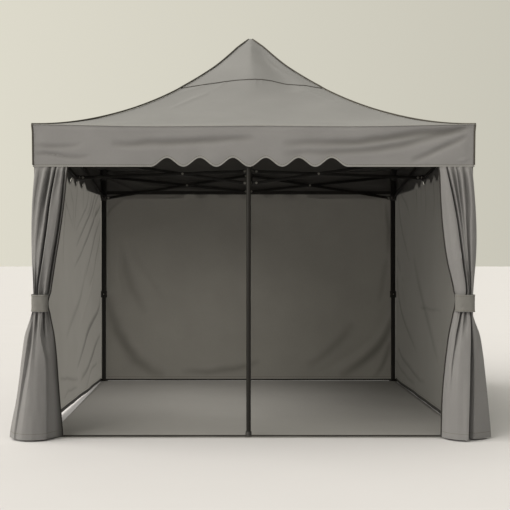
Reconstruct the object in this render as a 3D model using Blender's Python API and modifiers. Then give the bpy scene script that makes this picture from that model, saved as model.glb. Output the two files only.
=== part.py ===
"""Garden gazebo, three metres square.

A folding steel frame stands on four telescopic legs. Scissor trusses join the legs and
carry a middle mast, which holds up a pagoda roof cloth with a scalloped valance. Three
walls hang inside the valance, two door curtains are tied back at the front corners, a post
parts the doorway, and a groundsheet lies on the floor.

Metres, +Z up. The origin is on the ground at the middle of the four legs, and the front
faces -Y. Corner pieces are modelled at the front left corner and side pieces at the front
side, and both are then turned about the middle.
"""

import math

import bmesh
import bpy
from mathutils import Matrix, Vector

# Driving dimensions
LEG_SPACING = 3.0
EAVE_HEIGHT = 2.19
PEAK_HEIGHT = 3.17
EAVE_RISE = 0.211
ROOF_HALF = LEG_SPACING / 2 + 0.048
GAP = 0.0003

# Cloth: each hung sheet is made a few millimetres thick
ROOF_SHEET = 0.005
HUNG_SHEET = 0.0045
GROUND_SHEET = 0.004

# Legs: square steel tubes, one sliding in the other
LEG_AT = LEG_SPACING / 2
UPPER_TUBE = 0.044
LOWER_TUBE = 0.036
TUBE_WALL = 0.0025
COLLAR = 0.0555
COLLAR_LOW = 0.868
COLLAR_HIGH = 0.935
COLLAR_GRIP = 0.030
LOWER_TUBE_TOP = 1.25
FOOT_SIDE = 0.076
FOOT_THICK = 0.004

# Trusses: flat bars in two planes, one either side of the truss's middle plane
BAR_THICK = 0.012
BAR_HIGH = 0.025
BAR_OFFSET = 0.0065
PIVOT_RADIUS = 0.006
LEG_PIVOT_REACH = 0.048
LEG_PIVOT_TOP = 2.116
LEG_PIVOT_LOW = 1.900
SIDE_PIVOT_TOP = 2.127
SIDE_PIVOT_LOW = 1.966
SIDE_PIVOT_REACH = 0.030
SIDE_FITTING_HALF = 0.055
SIDE_FITTING_PROUD = 0.004
CROSS_PIVOT_REACH = 0.044
HUB_PIVOT_REACH = 0.050
HUB_PIVOT_TOP = 2.021
HUB_PIVOT_LOW = 1.920
EAR_THICK = 0.005
EAR_HIGH = 0.032
EAR_NECK = 0.030

# Leg brackets and sliders
BRACKET = 0.055
BRACKET_LOW = 2.078
BRACKET_CROWN = 0.012
SLIDER_HIGH = 0.060

# Middle mast
MAST_RADIUS = 0.016
MAST_LOW = 1.900
MAST_HIGH = 3.100
HUB_RADIUS = 0.026
HUB_HIGH = 0.036
HEAD_RADIUS = 0.030
HEAD_TIP_RADIUS = 0.012
HEAD_CLEAR = 0.001

# Doorway post, which stands just left of the middle
POST_X = -0.035
POST_RADIUS = 0.016
POST_FOOT_RADIUS = 0.035
POST_FOOT_HIGH = 0.036
POST_FOOT_PLATE = 0.006
POST_FOOT_WALL = 0.004

# Valance, with six scallops in the middle of each side
VALANCE_LOW = 1.898
VALANCE_FACE = LEG_AT + 0.043
SCALLOPS = 6
SCALLOP_PITCH = 0.232
SCALLOP_HIGH = 0.062
SCALLOP_STEPS = 8

# Walls, which hang against the valance's inner face
WALL_LOW = 0.010
WALL_SIDE_TOP = 1.930
WALL_BACK_TOP = 1.972
WALL_SCALLOP_HIGH = 0.045
WALL_FRONT_END = LEG_AT + 0.025

# Door curtains, gathered at the front corners and held by a band
CURTAIN_TOP = 1.990
CURTAIN_LOW = 0.012
CURTAIN_POINTS = 16
CURTAIN_SQUARENESS = 0.6
TIE_LOW = 0.885
TIE_HIGH = 1.004
TIE_SHEET = 0.0045

# Groundsheet, notched round the feet
GROUND_HALF = LEG_AT - 0.010
GROUND_FRONT = LEG_AT + 0.045
GROUND_NOTCH = LEG_AT - 0.045

# Names in the order of quarter turns from the front left corner and the front side
CORNERS = ("front_left", "front_right", "back_right", "back_left")
SIDES = ("front", "right", "back", "left")

VALANCE_INNER = VALANCE_FACE - HUNG_SHEET
WALL_OUTER = VALANCE_INNER - GAP
WALL_INNER = WALL_OUTER - HUNG_SHEET


def roof_height(reach):
    """Height of the roof's outer face on the square ring that lies this far out."""
    climb = 1 - reach / ROOF_HALF
    return EAVE_HEIGHT + EAVE_RISE * climb + (PEAK_HEIGHT - EAVE_HEIGHT - EAVE_RISE) * climb**2


def roof_underside(reach):
    """Height of the roof's inner face on the same ring."""
    step = 0.001
    slope = (roof_height(reach) - roof_height(reach + step)) / step
    return roof_height(reach) - ROOF_SHEET * math.hypot(1, slope)


def scallop_line(low, high):
    """Points of a scalloped edge, from its first scallop to its last, as distance and height."""
    points = []
    for step in range(SCALLOPS * SCALLOP_STEPS + 1):
        along = (step / SCALLOP_STEPS - SCALLOPS / 2) * SCALLOP_PITCH
        arch = (1 - math.cos(2 * math.pi * step / SCALLOP_STEPS)) / 2
        points.append((along, low + high * arch))
    return points


# Scene, collections and materials

for leftover in list(bpy.data.objects):
    bpy.data.objects.remove(leftover)

gazebo = bpy.data.collections.new("garden_gazebo")
cutters = bpy.data.collections.new("cutters")
bpy.context.scene.collection.children.link(gazebo)
bpy.context.scene.collection.children.link(cutters)


def make_material(name, colour, roughness, metallic=0.0):
    material = bpy.data.materials.new(name)
    material.use_nodes = True
    shader = material.node_tree.nodes["Principled BSDF"]
    shader.inputs["Base Color"].default_value = (*colour, 1.0)
    shader.inputs["Roughness"].default_value = roughness
    shader.inputs["Metallic"].default_value = metallic
    return material


canopy_cloth = make_material("canopy_cloth", (0.30, 0.295, 0.275), 0.85)
wall_cloth = make_material("wall_cloth", (0.29, 0.285, 0.265), 0.88)
curtain_cloth = make_material("curtain_cloth", (0.28, 0.275, 0.255), 0.88)
ground_cloth = make_material("ground_cloth", (0.20, 0.195, 0.185), 0.80)
frame_steel = make_material("frame_steel", (0.022, 0.020, 0.018), 0.45, 0.6)
frame_nylon = make_material("frame_nylon", (0.016, 0.015, 0.014), 0.55)


def add_object(name, data, material):
    piece = bpy.data.objects.new(name, data)
    gazebo.objects.link(piece)
    if not data.materials:
        data.materials.append(material)
    return piece


def turn_about(names, stem, data, material):
    """One piece for each name, sharing its data, a quarter turn apart about the middle."""
    for quarter, name in enumerate(names):
        piece = add_object(f"{stem}_{name}", data, material)
        piece.rotation_euler.z = quarter * math.pi / 2


# Building blocks: closed shapes that are joined or cut by Booleans


def add_tool(shape):
    """A bmesh made into an object among the cutters."""
    mesh = bpy.data.meshes.new("tool")
    shape.to_mesh(mesh)
    shape.free()
    tool = bpy.data.objects.new("tool", mesh)
    cutters.objects.link(tool)
    tool.hide_render = True
    tool.display_type = "WIRE"
    return tool


def block(low, high):
    """A box between two corners."""
    low, high = Vector(low), Vector(high)
    shape = bmesh.new()
    scale = Matrix.Diagonal((*(high - low), 1))
    bmesh.ops.create_cube(shape, size=1, matrix=Matrix.Translation((low + high) / 2) @ scale)
    return add_tool(shape)


def rod(radius, middle, along, length, sides=16):
    """A cylinder along an axis, given by its middle."""
    shape = bmesh.new()
    turn = Vector((0, 0, 1)).rotation_difference(Vector(along)).to_matrix().to_4x4()
    bmesh.ops.create_cone(
        shape,
        cap_ends=True,
        segments=sides,
        radius1=radius,
        radius2=radius,
        depth=length,
        matrix=Matrix.Translation(middle) @ turn,
    )
    return add_tool(shape)


def bar(start, end, thick_axis):
    """A flat bar between two pivots, with half its height left over at each end."""
    start, end = Vector(start), Vector(end)
    along = (end - start).normalized()
    across = Vector(thick_axis)
    turn = Matrix((along, across, along.cross(across))).transposed().to_4x4()
    size = ((end - start).length + BAR_HIGH, BAR_THICK, BAR_HIGH)
    shape = bmesh.new()
    place = Matrix.Translation((start + end) / 2) @ turn @ Matrix.Diagonal((*size, 1))
    bmesh.ops.create_cube(shape, size=1, matrix=place)
    return add_tool(shape)


def joined(pieces, cuts=()):
    """The mesh of overlapping pieces made one, less the cuts. The tools are used up."""
    base = pieces[0]
    steps = [(tool, "UNION") for tool in pieces[1:]] + [(tool, "DIFFERENCE") for tool in cuts]
    for tool, operation in steps:
        boolean = base.modifiers.new(operation.lower(), "BOOLEAN")
        boolean.operation = operation
        boolean.solver = "EXACT"
        boolean.object = tool
    seen = base.evaluated_get(bpy.context.evaluated_depsgraph_get())
    mesh = bpy.data.meshes.new_from_object(seen)
    for tool in [*pieces, *cuts]:
        bpy.data.objects.remove(tool)
    return mesh


def square_post(side, low, high):
    """A square block standing on the front left leg's axis."""
    half = side / 2
    return block((-LEG_AT - half, -LEG_AT - half, low), (-LEG_AT + half, -LEG_AT + half, high))


def ears(pivot, along, offset):
    """Two plates either side of a bar's end, standing out from a body along an axis."""
    along = Vector(along)
    across = Vector((abs(along.y), abs(along.x), 0))
    pivot = Vector(pivot)
    plates = []
    for side in (-1, 1):
        middle = pivot + across * (offset + side * (BAR_THICK / 2 + GAP + EAR_THICK / 2))
        near = middle - along * EAR_NECK
        far = middle + along * EAR_HIGH / 2
        half = across * EAR_THICK / 2 + Vector((0, 0, EAR_HIGH / 2))
        low = [min(a, b) for a, b in zip(near - half, far - half)]
        high = [max(a, b) for a, b in zip(near + half, far + half)]
        plates.append(block(low, high))
    return plates


# Legs

# A cutter runs this far past the face it opens
PAST = 0.01

bracket_top = roof_underside(LEG_AT + BRACKET / 2) - GAP
leg_top = bracket_top - BRACKET_CROWN
slider_low = LEG_PIVOT_LOW - SLIDER_HIGH / 2
slider_top = LEG_PIVOT_LOW + SLIDER_HIGH / 2


def upper_leg():
    """The outer tube, with the moulded collar that grips the inner tube at its lower end."""
    pieces = [square_post(UPPER_TUBE, COLLAR_LOW, leg_top), square_post(COLLAR, COLLAR_LOW, COLLAR_HIGH)]
    grip = square_post(LOWER_TUBE + 2 * GAP, COLLAR_LOW - PAST, COLLAR_HIGH)
    bore = square_post(UPPER_TUBE - 2 * TUBE_WALL, COLLAR_LOW + COLLAR_GRIP, leg_top + PAST)
    return joined(pieces, [grip, bore])


def lower_leg():
    """The inner tube, welded to its foot plate."""
    half = FOOT_SIDE / 2
    plate = block((-LEG_AT - half, -LEG_AT - half, 0), (-LEG_AT + half, -LEG_AT + half, FOOT_THICK))
    tube = square_post(LOWER_TUBE, FOOT_THICK / 2, LOWER_TUBE_TOP)
    bore = square_post(LOWER_TUBE - 2 * TUBE_WALL, FOOT_THICK, LOWER_TUBE_TOP + PAST)
    return joined([tube, plate], [bore])


def leg_fitting(low, high, pivot_height, offset, bore_top):
    """A sleeve on the leg, with a pair of ears for the truss on either side of the corner."""
    forward = ears((-LEG_AT + LEG_PIVOT_REACH, -LEG_AT, pivot_height), (1, 0, 0), offset)
    sideways = ears((-LEG_AT, -LEG_AT + LEG_PIVOT_REACH, pivot_height), (0, 1, 0), offset)
    sleeve = square_post(BRACKET, low, high)
    bore = square_post(UPPER_TUBE + 2 * GAP, low - PAST, bore_top)
    return joined([sleeve, *forward, *sideways], [bore])


turn_about(CORNERS, "upper_leg", upper_leg(), frame_steel)
turn_about(CORNERS, "lower_leg", lower_leg(), frame_steel)
bracket = leg_fitting(BRACKET_LOW, bracket_top, LEG_PIVOT_TOP, -BAR_OFFSET, leg_top + GAP)
turn_about(CORNERS, "leg_bracket", bracket, frame_nylon)
slider = leg_fitting(slider_low, slider_top, LEG_PIVOT_LOW, BAR_OFFSET, slider_top + PAST)
turn_about(CORNERS, "leg_slider", slider, frame_nylon)


# Trusses


def crossing(start_a, end_a, start_b, end_b):
    """The point where two bars in one upright plane cross, seen square on."""
    start_a, end_a, start_b, end_b = (Vector(point) for point in (start_a, end_a, start_b, end_b))
    near, far = start_a.z - start_b.z, end_b.z - end_a.z
    return start_a.lerp(end_a, near / (near + far))


def scissor(outer, inner, heights_out, heights_in, thick_axis):
    """Two crossed bars and their pivot. The first bar starts high and ends low."""
    across = Vector(thick_axis)
    high_start = Vector((*outer, heights_out[0]))
    low_start = Vector((*outer, heights_out[1]))
    high_end = Vector((*inner, heights_in[0]))
    low_end = Vector((*inner, heights_in[1]))
    pivot = crossing(high_start, low_end, low_start, high_end)
    shift = across * BAR_OFFSET
    return [
        bar(high_start - shift, low_end - shift, across),
        bar(low_start + shift, high_end + shift, across),
        rod(PIVOT_RADIUS, pivot, across, 2 * (BAR_OFFSET + BAR_THICK / 2)),
    ]


def side_truss():
    """Two scissors between the legs, joined in the middle by an upper and a lower fitting."""
    pieces = []
    leg_heights = (LEG_PIVOT_TOP, LEG_PIVOT_LOW)
    side_heights = (SIDE_PIVOT_TOP, SIDE_PIVOT_LOW)
    for side in (-1, 1):
        outer = (side * (LEG_AT - LEG_PIVOT_REACH), -LEG_AT)
        inner = (side * SIDE_PIVOT_REACH, -LEG_AT)
        pieces += scissor(outer, inner, leg_heights, side_heights, (0, 1, 0))
    half_thick = BAR_OFFSET + BAR_THICK / 2
    for height, offset in ((SIDE_PIVOT_TOP, -BAR_OFFSET), (SIDE_PIVOT_LOW, BAR_OFFSET)):
        low = (-SIDE_FITTING_HALF, -LEG_AT - half_thick, height - EAR_HIGH / 2)
        high = (SIDE_FITTING_HALF, -LEG_AT + half_thick + SIDE_FITTING_PROUD, height + EAR_HIGH / 2)
        pieces.append(block(low, high))
        pieces += ears((0, -LEG_AT + CROSS_PIVOT_REACH, height), (0, 1, 0), offset)
    return joined(pieces)


def cross_truss():
    """One scissor from the middle of a side to the mast's hubs."""
    outer = (0, -LEG_AT + CROSS_PIVOT_REACH)
    inner = (0, -HUB_PIVOT_REACH)
    side_heights = (SIDE_PIVOT_TOP, SIDE_PIVOT_LOW)
    hub_heights = (HUB_PIVOT_TOP, HUB_PIVOT_LOW)
    return joined(scissor(outer, inner, side_heights, hub_heights, (1, 0, 0)))


turn_about(SIDES, "side_truss", side_truss(), frame_steel)
turn_about(SIDES, "cross_truss", cross_truss(), frame_steel)


# Mast


def hub(height, offset):
    """A sleeve round the mast with a pair of ears for each of the four cross trusses."""
    pieces = [rod(HUB_RADIUS, (0, 0, height), (0, 0, 1), HUB_HIGH)]
    for along, sign in (((0, -1, 0), 1), ((1, 0, 0), 1), ((0, 1, 0), -1), ((-1, 0, 0), -1)):
        pivot = Vector(along) * HUB_PIVOT_REACH + Vector((0, 0, height))
        pieces += ears(pivot, along, sign * offset)
    bore = rod(MAST_RADIUS + 2.2 * GAP, (0, 0, height), (0, 0, 1), 2 * HUB_HIGH)
    return joined(pieces, [bore])


def turned(name, profile, material, steps=24):
    """A turned piece from a profile of radius and height that runs from top to bottom."""
    mesh = bpy.data.meshes.new(name)
    shape = bmesh.new()
    corners = [shape.verts.new((radius, 0, height)) for radius, height in profile]
    for upper, lower in zip(corners, corners[1:]):
        shape.edges.new((upper, lower))
    shape.to_mesh(mesh)
    shape.free()
    piece = add_object(name, mesh, material)
    screw = piece.modifiers.new("turn", "SCREW")
    screw.steps = steps
    screw.render_steps = steps
    screw.use_merge_vertices = True
    screw.merge_threshold = 0.00005
    return piece


def tube(name, radius, start, end, material):
    """A round tube with closed ends."""
    curve = bpy.data.curves.new(name, "CURVE")
    curve.dimensions = "3D"
    line = curve.splines.new("POLY")
    line.points.add(1)
    line.points[0].co = (*start, 1)
    line.points[1].co = (*end, 1)
    curve.bevel_depth = radius
    curve.bevel_resolution = 2
    curve.use_fill_caps = True
    return add_object(name, curve, material)


add_object("hub_upper", hub(HUB_PIVOT_TOP, BAR_OFFSET), frame_nylon)
add_object("hub_lower", hub(HUB_PIVOT_LOW, -BAR_OFFSET), frame_nylon)
tube("mast", MAST_RADIUS, (0, 0, MAST_LOW), (0, 0, MAST_HIGH), frame_steel)

# The head is a blunt cone under the roof's peak
head_top = roof_underside(HEAD_TIP_RADIUS) - HEAD_CLEAR
head_profile = (
    (0, head_top),
    (HEAD_TIP_RADIUS, head_top),
    (HEAD_RADIUS, roof_underside(HEAD_RADIUS) - HEAD_CLEAR),
    (HEAD_RADIUS, MAST_HIGH + GAP),
    (0, MAST_HIGH + GAP),
)
turned("mast_head", head_profile, frame_nylon)


# Doorway post

post_bottom = GROUND_SHEET + GAP + POST_FOOT_PLATE + GAP
post_top = SIDE_PIVOT_LOW - EAR_HIGH / 2 - GAP
tube("door_post", POST_RADIUS, (POST_X, -LEG_AT, post_bottom), (POST_X, -LEG_AT, post_top), frame_steel)

post_hole = POST_RADIUS + 2 * GAP
foot_low = GROUND_SHEET + GAP
foot_profile = (
    (0, foot_low + POST_FOOT_PLATE),
    (post_hole, foot_low + POST_FOOT_PLATE),
    (post_hole, foot_low + POST_FOOT_HIGH),
    (post_hole + POST_FOOT_WALL, foot_low + POST_FOOT_HIGH),
    (post_hole + 1.5 * POST_FOOT_WALL, foot_low + POST_FOOT_PLATE),
    (POST_FOOT_RADIUS, foot_low + POST_FOOT_PLATE / 2),
    (POST_FOOT_RADIUS, foot_low),
    (0, foot_low),
)
post_foot = turned("door_post_foot", foot_profile, frame_nylon)
post_foot.location = (POST_X, -LEG_AT, 0)


# Roof: a profile turned in four steps, so that each course of it is a square ring

ROOF_COURSES = 12
CAP_COURSES = 5
ROOF_EASE = 1.25
CAP_SHEET = 0.002
CAP_LIFT = 2 * GAP


def roof_shell(name, courses, lift, thickness, offset):
    """The roof's faces from the peak down to a course, as a sheet of one thickness."""
    reaches = [ROOF_HALF * (course / ROOF_COURSES) ** ROOF_EASE for course in range(courses + 1)]
    profile = [(reach * math.sqrt(2), roof_height(reach) + lift) for reach in reaches]
    shell = turned(name, profile, canopy_cloth, steps=4)
    shell.rotation_euler.z = math.pi / 4
    sheet = shell.modifiers.new("sheet", "SOLIDIFY")
    sheet.thickness = thickness
    sheet.offset = offset
    sheet.use_even_offset = True
    return shell


roof_shell("roof_cloth", ROOF_COURSES, 0, ROOF_SHEET, -1)
roof_shell("roof_cap", CAP_COURSES, CAP_LIFT, CAP_SHEET, 1)


# Flat sheets: valances, walls and groundsheet


def sheet_outline(name, points, thickness, material):
    """A flat sheet from its outline, lying in its own XY plane."""
    curve = bpy.data.curves.new(name, "CURVE")
    curve.dimensions = "2D"
    curve.fill_mode = "BOTH"
    curve.extrude = thickness / 2
    line = curve.splines.new("POLY")
    line.points.add(len(points) - 1)
    for point, place in zip(line.points, points):
        point.co = (*place, 0, 1)
    line.use_cyclic_u = True
    return add_object(name, curve, material)


def hang(sheet, middle, facing):
    """Stands a flat sheet upright at a place, with its face towards an angle about Z."""
    sheet.location = middle
    sheet.rotation_euler = (math.pi / 2, 0, facing)


valance_top = roof_underside(VALANCE_FACE) - GAP
valance_middle = VALANCE_FACE - HUNG_SHEET / 2
for quarter, side in enumerate(SIDES):
    half = VALANCE_FACE if side in ("front", "back") else VALANCE_INNER - GAP
    edge = scallop_line(VALANCE_LOW, SCALLOP_HIGH)
    outline = [(-half, VALANCE_LOW), *edge, (half, VALANCE_LOW), (half, valance_top), (-half, valance_top)]
    valance = sheet_outline(f"valance_{side}", outline, HUNG_SHEET, canopy_cloth)
    facing = quarter * math.pi / 2
    hang(valance, (valance_middle * math.sin(facing), -valance_middle * math.cos(facing), 0), facing)

wall_middle = (WALL_INNER + WALL_OUTER) / 2
back_half = WALL_OUTER
back_outline = [
    (-back_half, WALL_LOW),
    (back_half, WALL_LOW),
    (back_half, WALL_BACK_TOP),
    (-back_half, WALL_BACK_TOP),
]
hang(sheet_outline("wall_back", back_outline, HUNG_SHEET, wall_cloth), (0, wall_middle, 0), 0)

side_top = scallop_line(WALL_SIDE_TOP, WALL_SCALLOP_HIGH)
side_outline = [
    (WALL_INNER - GAP, WALL_SIDE_TOP),
    (WALL_INNER - GAP, WALL_LOW),
    (-WALL_FRONT_END, WALL_LOW),
    (-WALL_FRONT_END, WALL_SIDE_TOP),
    *side_top,
]
for name, side in (("wall_left", -1), ("wall_right", 1)):
    wall = sheet_outline(name, side_outline, HUNG_SHEET, wall_cloth)
    hang(wall, (side * wall_middle, 0, 0), math.pi / 2)

ground_outline = [
    (-GROUND_NOTCH, -GROUND_FRONT),
    (GROUND_NOTCH, -GROUND_FRONT),
    (GROUND_NOTCH, -GROUND_NOTCH),
    (GROUND_HALF, -GROUND_NOTCH),
    (GROUND_HALF, GROUND_NOTCH),
    (GROUND_NOTCH, GROUND_NOTCH),
    (GROUND_NOTCH, GROUND_HALF),
    (-GROUND_NOTCH, GROUND_HALF),
    (-GROUND_NOTCH, GROUND_NOTCH),
    (-GROUND_HALF, GROUND_NOTCH),
    (-GROUND_HALF, -GROUND_NOTCH),
    (-GROUND_NOTCH, -GROUND_NOTCH),
]
groundsheet = sheet_outline("groundsheet", ground_outline, GROUND_SHEET, ground_cloth)
groundsheet.location.z = GROUND_SHEET / 2


# Door curtains: each narrows from the valance to its band and flares again to the hem

# Half-width and middle across the doorway, and how far the folds stand out at the front
CURTAIN_SHAPE = {
    "top": (0.105, 1.430, WALL_OUTER),
    "shoulder": (0.095, 1.445, LEG_AT + 0.085),
    "tie": (0.062, 1.490, LEG_AT + 0.112),
    "hem": (0.178, 1.512, LEG_AT + 0.190),
}
CURTAIN_SHOULDER = 1.80
CURTAIN_BACK = WALL_INNER


def blend(first, second, share):
    """A section part of the way from one named section to the next, easing at both ends."""
    eased = share * share * (3 - 2 * share)
    return [a + (b - a) * eased for a, b in zip(CURTAIN_SHAPE[first], CURTAIN_SHAPE[second])]


def curtain_sections():
    """Heights from top to bottom, each with its half-width, middle and front."""
    sections = [(CURTAIN_TOP, *CURTAIN_SHAPE["top"])]
    sections.append((VALANCE_LOW - PAST, *CURTAIN_SHAPE["top"]))
    sections.append((CURTAIN_SHOULDER, *CURTAIN_SHAPE["shoulder"]))
    above, below = TIE_HIGH + PAST, TIE_LOW - PAST
    for share in (0.25, 0.5, 0.75, 1):
        height = CURTAIN_SHOULDER + (above - CURTAIN_SHOULDER) * share
        sections.append((height, *blend("shoulder", "tie", share)))
    sections.append((below, *CURTAIN_SHAPE["tie"]))
    for share in (0.25, 0.5, 0.75, 1):
        sections.append((below + (CURTAIN_LOW - below) * share, *blend("tie", "hem", share)))
    return sections


def curtain_ring(shape, section, side, capped):
    """The outline of one section as a ring of edges: a rounded box, flat at the back."""
    height, half_width, middle, front = section
    circle = bmesh.ops.create_circle(shape, cap_ends=capped, segments=CURTAIN_POINTS, radius=1)
    for vertex in circle["verts"]:
        across = math.copysign(abs(vertex.co.x) ** CURTAIN_SQUARENESS, vertex.co.x)
        depth = math.copysign(abs(vertex.co.y) ** CURTAIN_SQUARENESS, vertex.co.y)
        reach = CURTAIN_BACK + (front - CURTAIN_BACK) * (1 + depth) / 2
        vertex.co = (side * middle + half_width * across, -reach, height)
    return list({edge for vertex in circle["verts"] for edge in vertex.link_edges})


def curtain(name, side):
    """The gathered cloth as one solid, from ring to ring down its height."""
    shape = bmesh.new()
    sections = curtain_sections()
    rings = []
    for section in sections:
        capped = section is sections[0] or section is sections[-1]
        rings.append(curtain_ring(shape, section, side, capped))
    for upper, lower in zip(rings, rings[1:]):
        bmesh.ops.bridge_loops(shape, edges=upper + lower)
    bmesh.ops.recalc_face_normals(shape, faces=shape.faces[:])
    mesh = bpy.data.meshes.new(name)
    shape.to_mesh(mesh)
    shape.free()
    return add_object(name, mesh, curtain_cloth)


def tieback(name, side):
    """The band round the gathered curtain, whose back lies against the leg's collar."""
    half_width, middle, front = CURTAIN_SHAPE["tie"]
    middle *= side
    half, far, near = half_width + GAP, front + GAP, CURTAIN_BACK - GAP
    hole = block((middle - half, -far, TIE_LOW - PAST), (middle + half, -near, TIE_HIGH + PAST))
    half, far, near = half + TIE_SHEET, far + TIE_SHEET, LEG_AT + COLLAR / 2 + GAP
    band = block((middle - half, -far, TIE_LOW), (middle + half, -near, TIE_HIGH))
    return add_object(name, joined([band], [hole]), curtain_cloth)


for name, side in (("left", -1), ("right", 1)):
    curtain(f"curtain_{name}", side)
    tieback(f"tieback_{name}", side)
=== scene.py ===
"""The looks of the garden gazebo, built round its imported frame.

Metres, +Z up, and the front faces -Y. The sections follow the gazebo as it is put up: the
folding frame first, then the roof, the valances, the walls, the groundsheet and the door
curtains. Each soft piece starts as a flat cloth and is moved to the place where it hangs.
"""

import math

import bmesh
import bpy
from mathutils import Matrix, Vector, noise


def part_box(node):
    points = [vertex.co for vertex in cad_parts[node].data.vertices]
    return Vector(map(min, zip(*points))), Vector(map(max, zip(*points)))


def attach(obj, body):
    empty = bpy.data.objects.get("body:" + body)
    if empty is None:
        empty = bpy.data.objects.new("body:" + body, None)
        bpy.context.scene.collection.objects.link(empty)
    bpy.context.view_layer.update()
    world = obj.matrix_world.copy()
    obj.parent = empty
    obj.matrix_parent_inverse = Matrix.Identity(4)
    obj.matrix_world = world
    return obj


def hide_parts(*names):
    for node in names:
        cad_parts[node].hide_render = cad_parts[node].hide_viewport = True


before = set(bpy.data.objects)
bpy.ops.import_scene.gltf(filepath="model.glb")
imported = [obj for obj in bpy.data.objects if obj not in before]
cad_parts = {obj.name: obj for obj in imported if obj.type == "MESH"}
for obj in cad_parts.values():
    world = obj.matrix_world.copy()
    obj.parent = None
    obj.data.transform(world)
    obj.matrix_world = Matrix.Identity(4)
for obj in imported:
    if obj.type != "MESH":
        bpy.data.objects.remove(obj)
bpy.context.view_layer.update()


# The view
# A plain pale floor, even light from all round, one soft lamp high at the left and a weak one
# under the roof, turned a little to the left and back. The camera stands square to the front,
# at chest height and well back.

CAMERA_PLACE = (-0.109, -7.78, 1.217)
CAMERA_LENS = 63.1
CAMERA_SHIFT = (0.0333, 0.0171)
FLOOR_RADIUS = 400.0
KEY_TURN = (math.radians(53), 0, math.radians(-69))
KEY_STRENGTH = 3.3
KEY_SPREAD = math.radians(80)
FILL_PLACE = (-0.40, -0.12, 1.84)
FILL_TURN = (math.radians(13), math.radians(7), 0)
FILL_SIZE = 1.9
FILL_WATTS = 11.0
FILL_SPREAD = math.radians(96)


def linear(colour):
    """An sRGB hex colour as the linear colour that a shader or a lamp takes."""
    shares = [int(colour[place:place + 2], 16) / 255 for place in (1, 3, 5)]
    return [*(s / 12.92 if s <= 0.04045 else ((s + 0.055) / 1.055) ** 2.4 for s in shares), 1.0]


def add_node(tree, kind, links=None, **settings):
    """Adds a node. links gives its inputs, each a value or another node's output."""
    node = tree.nodes.new("ShaderNode" + kind)
    for name, value in settings.items():
        setattr(node, name, value)
    for socket, value in (links or {}).items():
        if isinstance(value, bpy.types.NodeSocket):
            tree.links.new(value, node.inputs[socket])
        else:
            node.inputs[socket].default_value = value
    return node


def empty_material(name):
    """A material with no nodes but its output, and its node tree."""
    material = bpy.data.materials.new(name)
    material.use_nodes = True
    material.node_tree.nodes.clear()
    return material, material.node_tree


camera = bpy.data.objects.new("camera", bpy.data.cameras.new("camera"))
camera.location = CAMERA_PLACE
camera.rotation_euler = (math.radians(90), 0, 0)
camera.data.lens = CAMERA_LENS
camera.data.shift_x, camera.data.shift_y = CAMERA_SHIFT
camera.data.clip_end = FLOOR_RADIUS
bpy.context.scene.collection.objects.link(camera)
bpy.context.scene.camera = camera
bpy.context.scene.view_settings.view_transform = "Standard"

studio = bpy.data.worlds.new("studio")
studio.use_nodes = True
facing = add_node(studio.node_tree, "SeparateXYZ", {0: add_node(studio.node_tree, "TexCoord").outputs[0]})
falloff = add_node(studio.node_tree, "MapRange", {0: facing.outputs[0], 1: -1.0, 2: 1.0})
paper = add_node(
    studio.node_tree,
    "Mix",
    {0: falloff.outputs[0], 6: linear("#f5f1e1"), 7: linear("#aaa89c")},
    data_type="RGBA",
)
studio.node_tree.links.new(paper.outputs[2], studio.node_tree.nodes["Background"].inputs["Color"])
bpy.context.scene.world = studio

key = bpy.data.objects.new("key_lamp", bpy.data.lights.new("key_lamp", "SUN"))
key.rotation_euler = KEY_TURN
key.data.energy = KEY_STRENGTH
key.data.angle = KEY_SPREAD
key.data.color = linear("#fffaf0")[:3]
bpy.context.scene.collection.objects.link(key)

fill = bpy.data.objects.new("fill_lamp", bpy.data.lights.new("fill_lamp", "AREA"))
fill.location = FILL_PLACE
fill.rotation_euler = FILL_TURN
fill.data.size = FILL_SIZE
fill.data.energy = FILL_WATTS
fill.data.spread = FILL_SPREAD
fill.data.color = linear("#fffaf0")[:3]
fill.visible_camera = False
bpy.context.scene.collection.objects.link(fill)


def painted_floor():
    # Smooth pale floor paint, matt, with a faint unevenness of tone.
    material, tree = empty_material("painted_floor")
    place = add_node(tree, "TexCoord").outputs["Object"]
    mottle = add_node(tree, "TexNoise", {"Vector": place, "Scale": 1.5, "Detail": 2.0})
    tone = add_node(
        tree,
        "Mix",
        {0: mottle.outputs[0], 6: linear("#d0cfd3"), 7: linear("#d3d2d6")},
        data_type="RGBA",
    )
    shader = add_node(tree, "BsdfPrincipled", {"Base Color": tone.outputs[2], "Roughness": 0.9})
    shader.inputs["Specular IOR Level"].default_value = 0.2
    add_node(tree, "OutputMaterial", {"Surface": shader.outputs[0]})
    return material


def add_piece(name, shape, *materials, smooth_below=40):
    """A bmesh made into an object, shaded smooth where its faces meet at less than an angle."""
    mesh = bpy.data.meshes.new(name)
    shape.to_mesh(mesh)
    shape.free()
    for material in materials:
        mesh.materials.append(material)
    mesh.shade_smooth()
    mesh.set_sharp_from_angle(angle=math.radians(smooth_below))
    piece = bpy.data.objects.new(name, mesh)
    bpy.context.scene.collection.objects.link(piece)
    return piece


floor_shape = bmesh.new()
bmesh.ops.create_circle(floor_shape, cap_ends=True, segments=64, radius=FLOOR_RADIUS)
add_piece("floor", floor_shape, painted_floor())


# Legs
# Two square steel tubes, one sliding in the other, with a collar at the joint and a welded
# foot plate. They are cut, welded and coated with baked dark powder, so every edge is rounded.

CORNERS = ("front_left", "front_right", "back_right", "back_left")
LEG_AT = 1.5
TUBE_EDGE = 0.007
PLATE_EDGE = 0.0012
BUTTON_RADIUS = 0.006
BUTTON_PROUD = 0.004
BUTTON_HEIGHT = 0.902
COLLAR_FACE = 0.0555 / 2
PEEL_SIZE = 0.004


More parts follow.
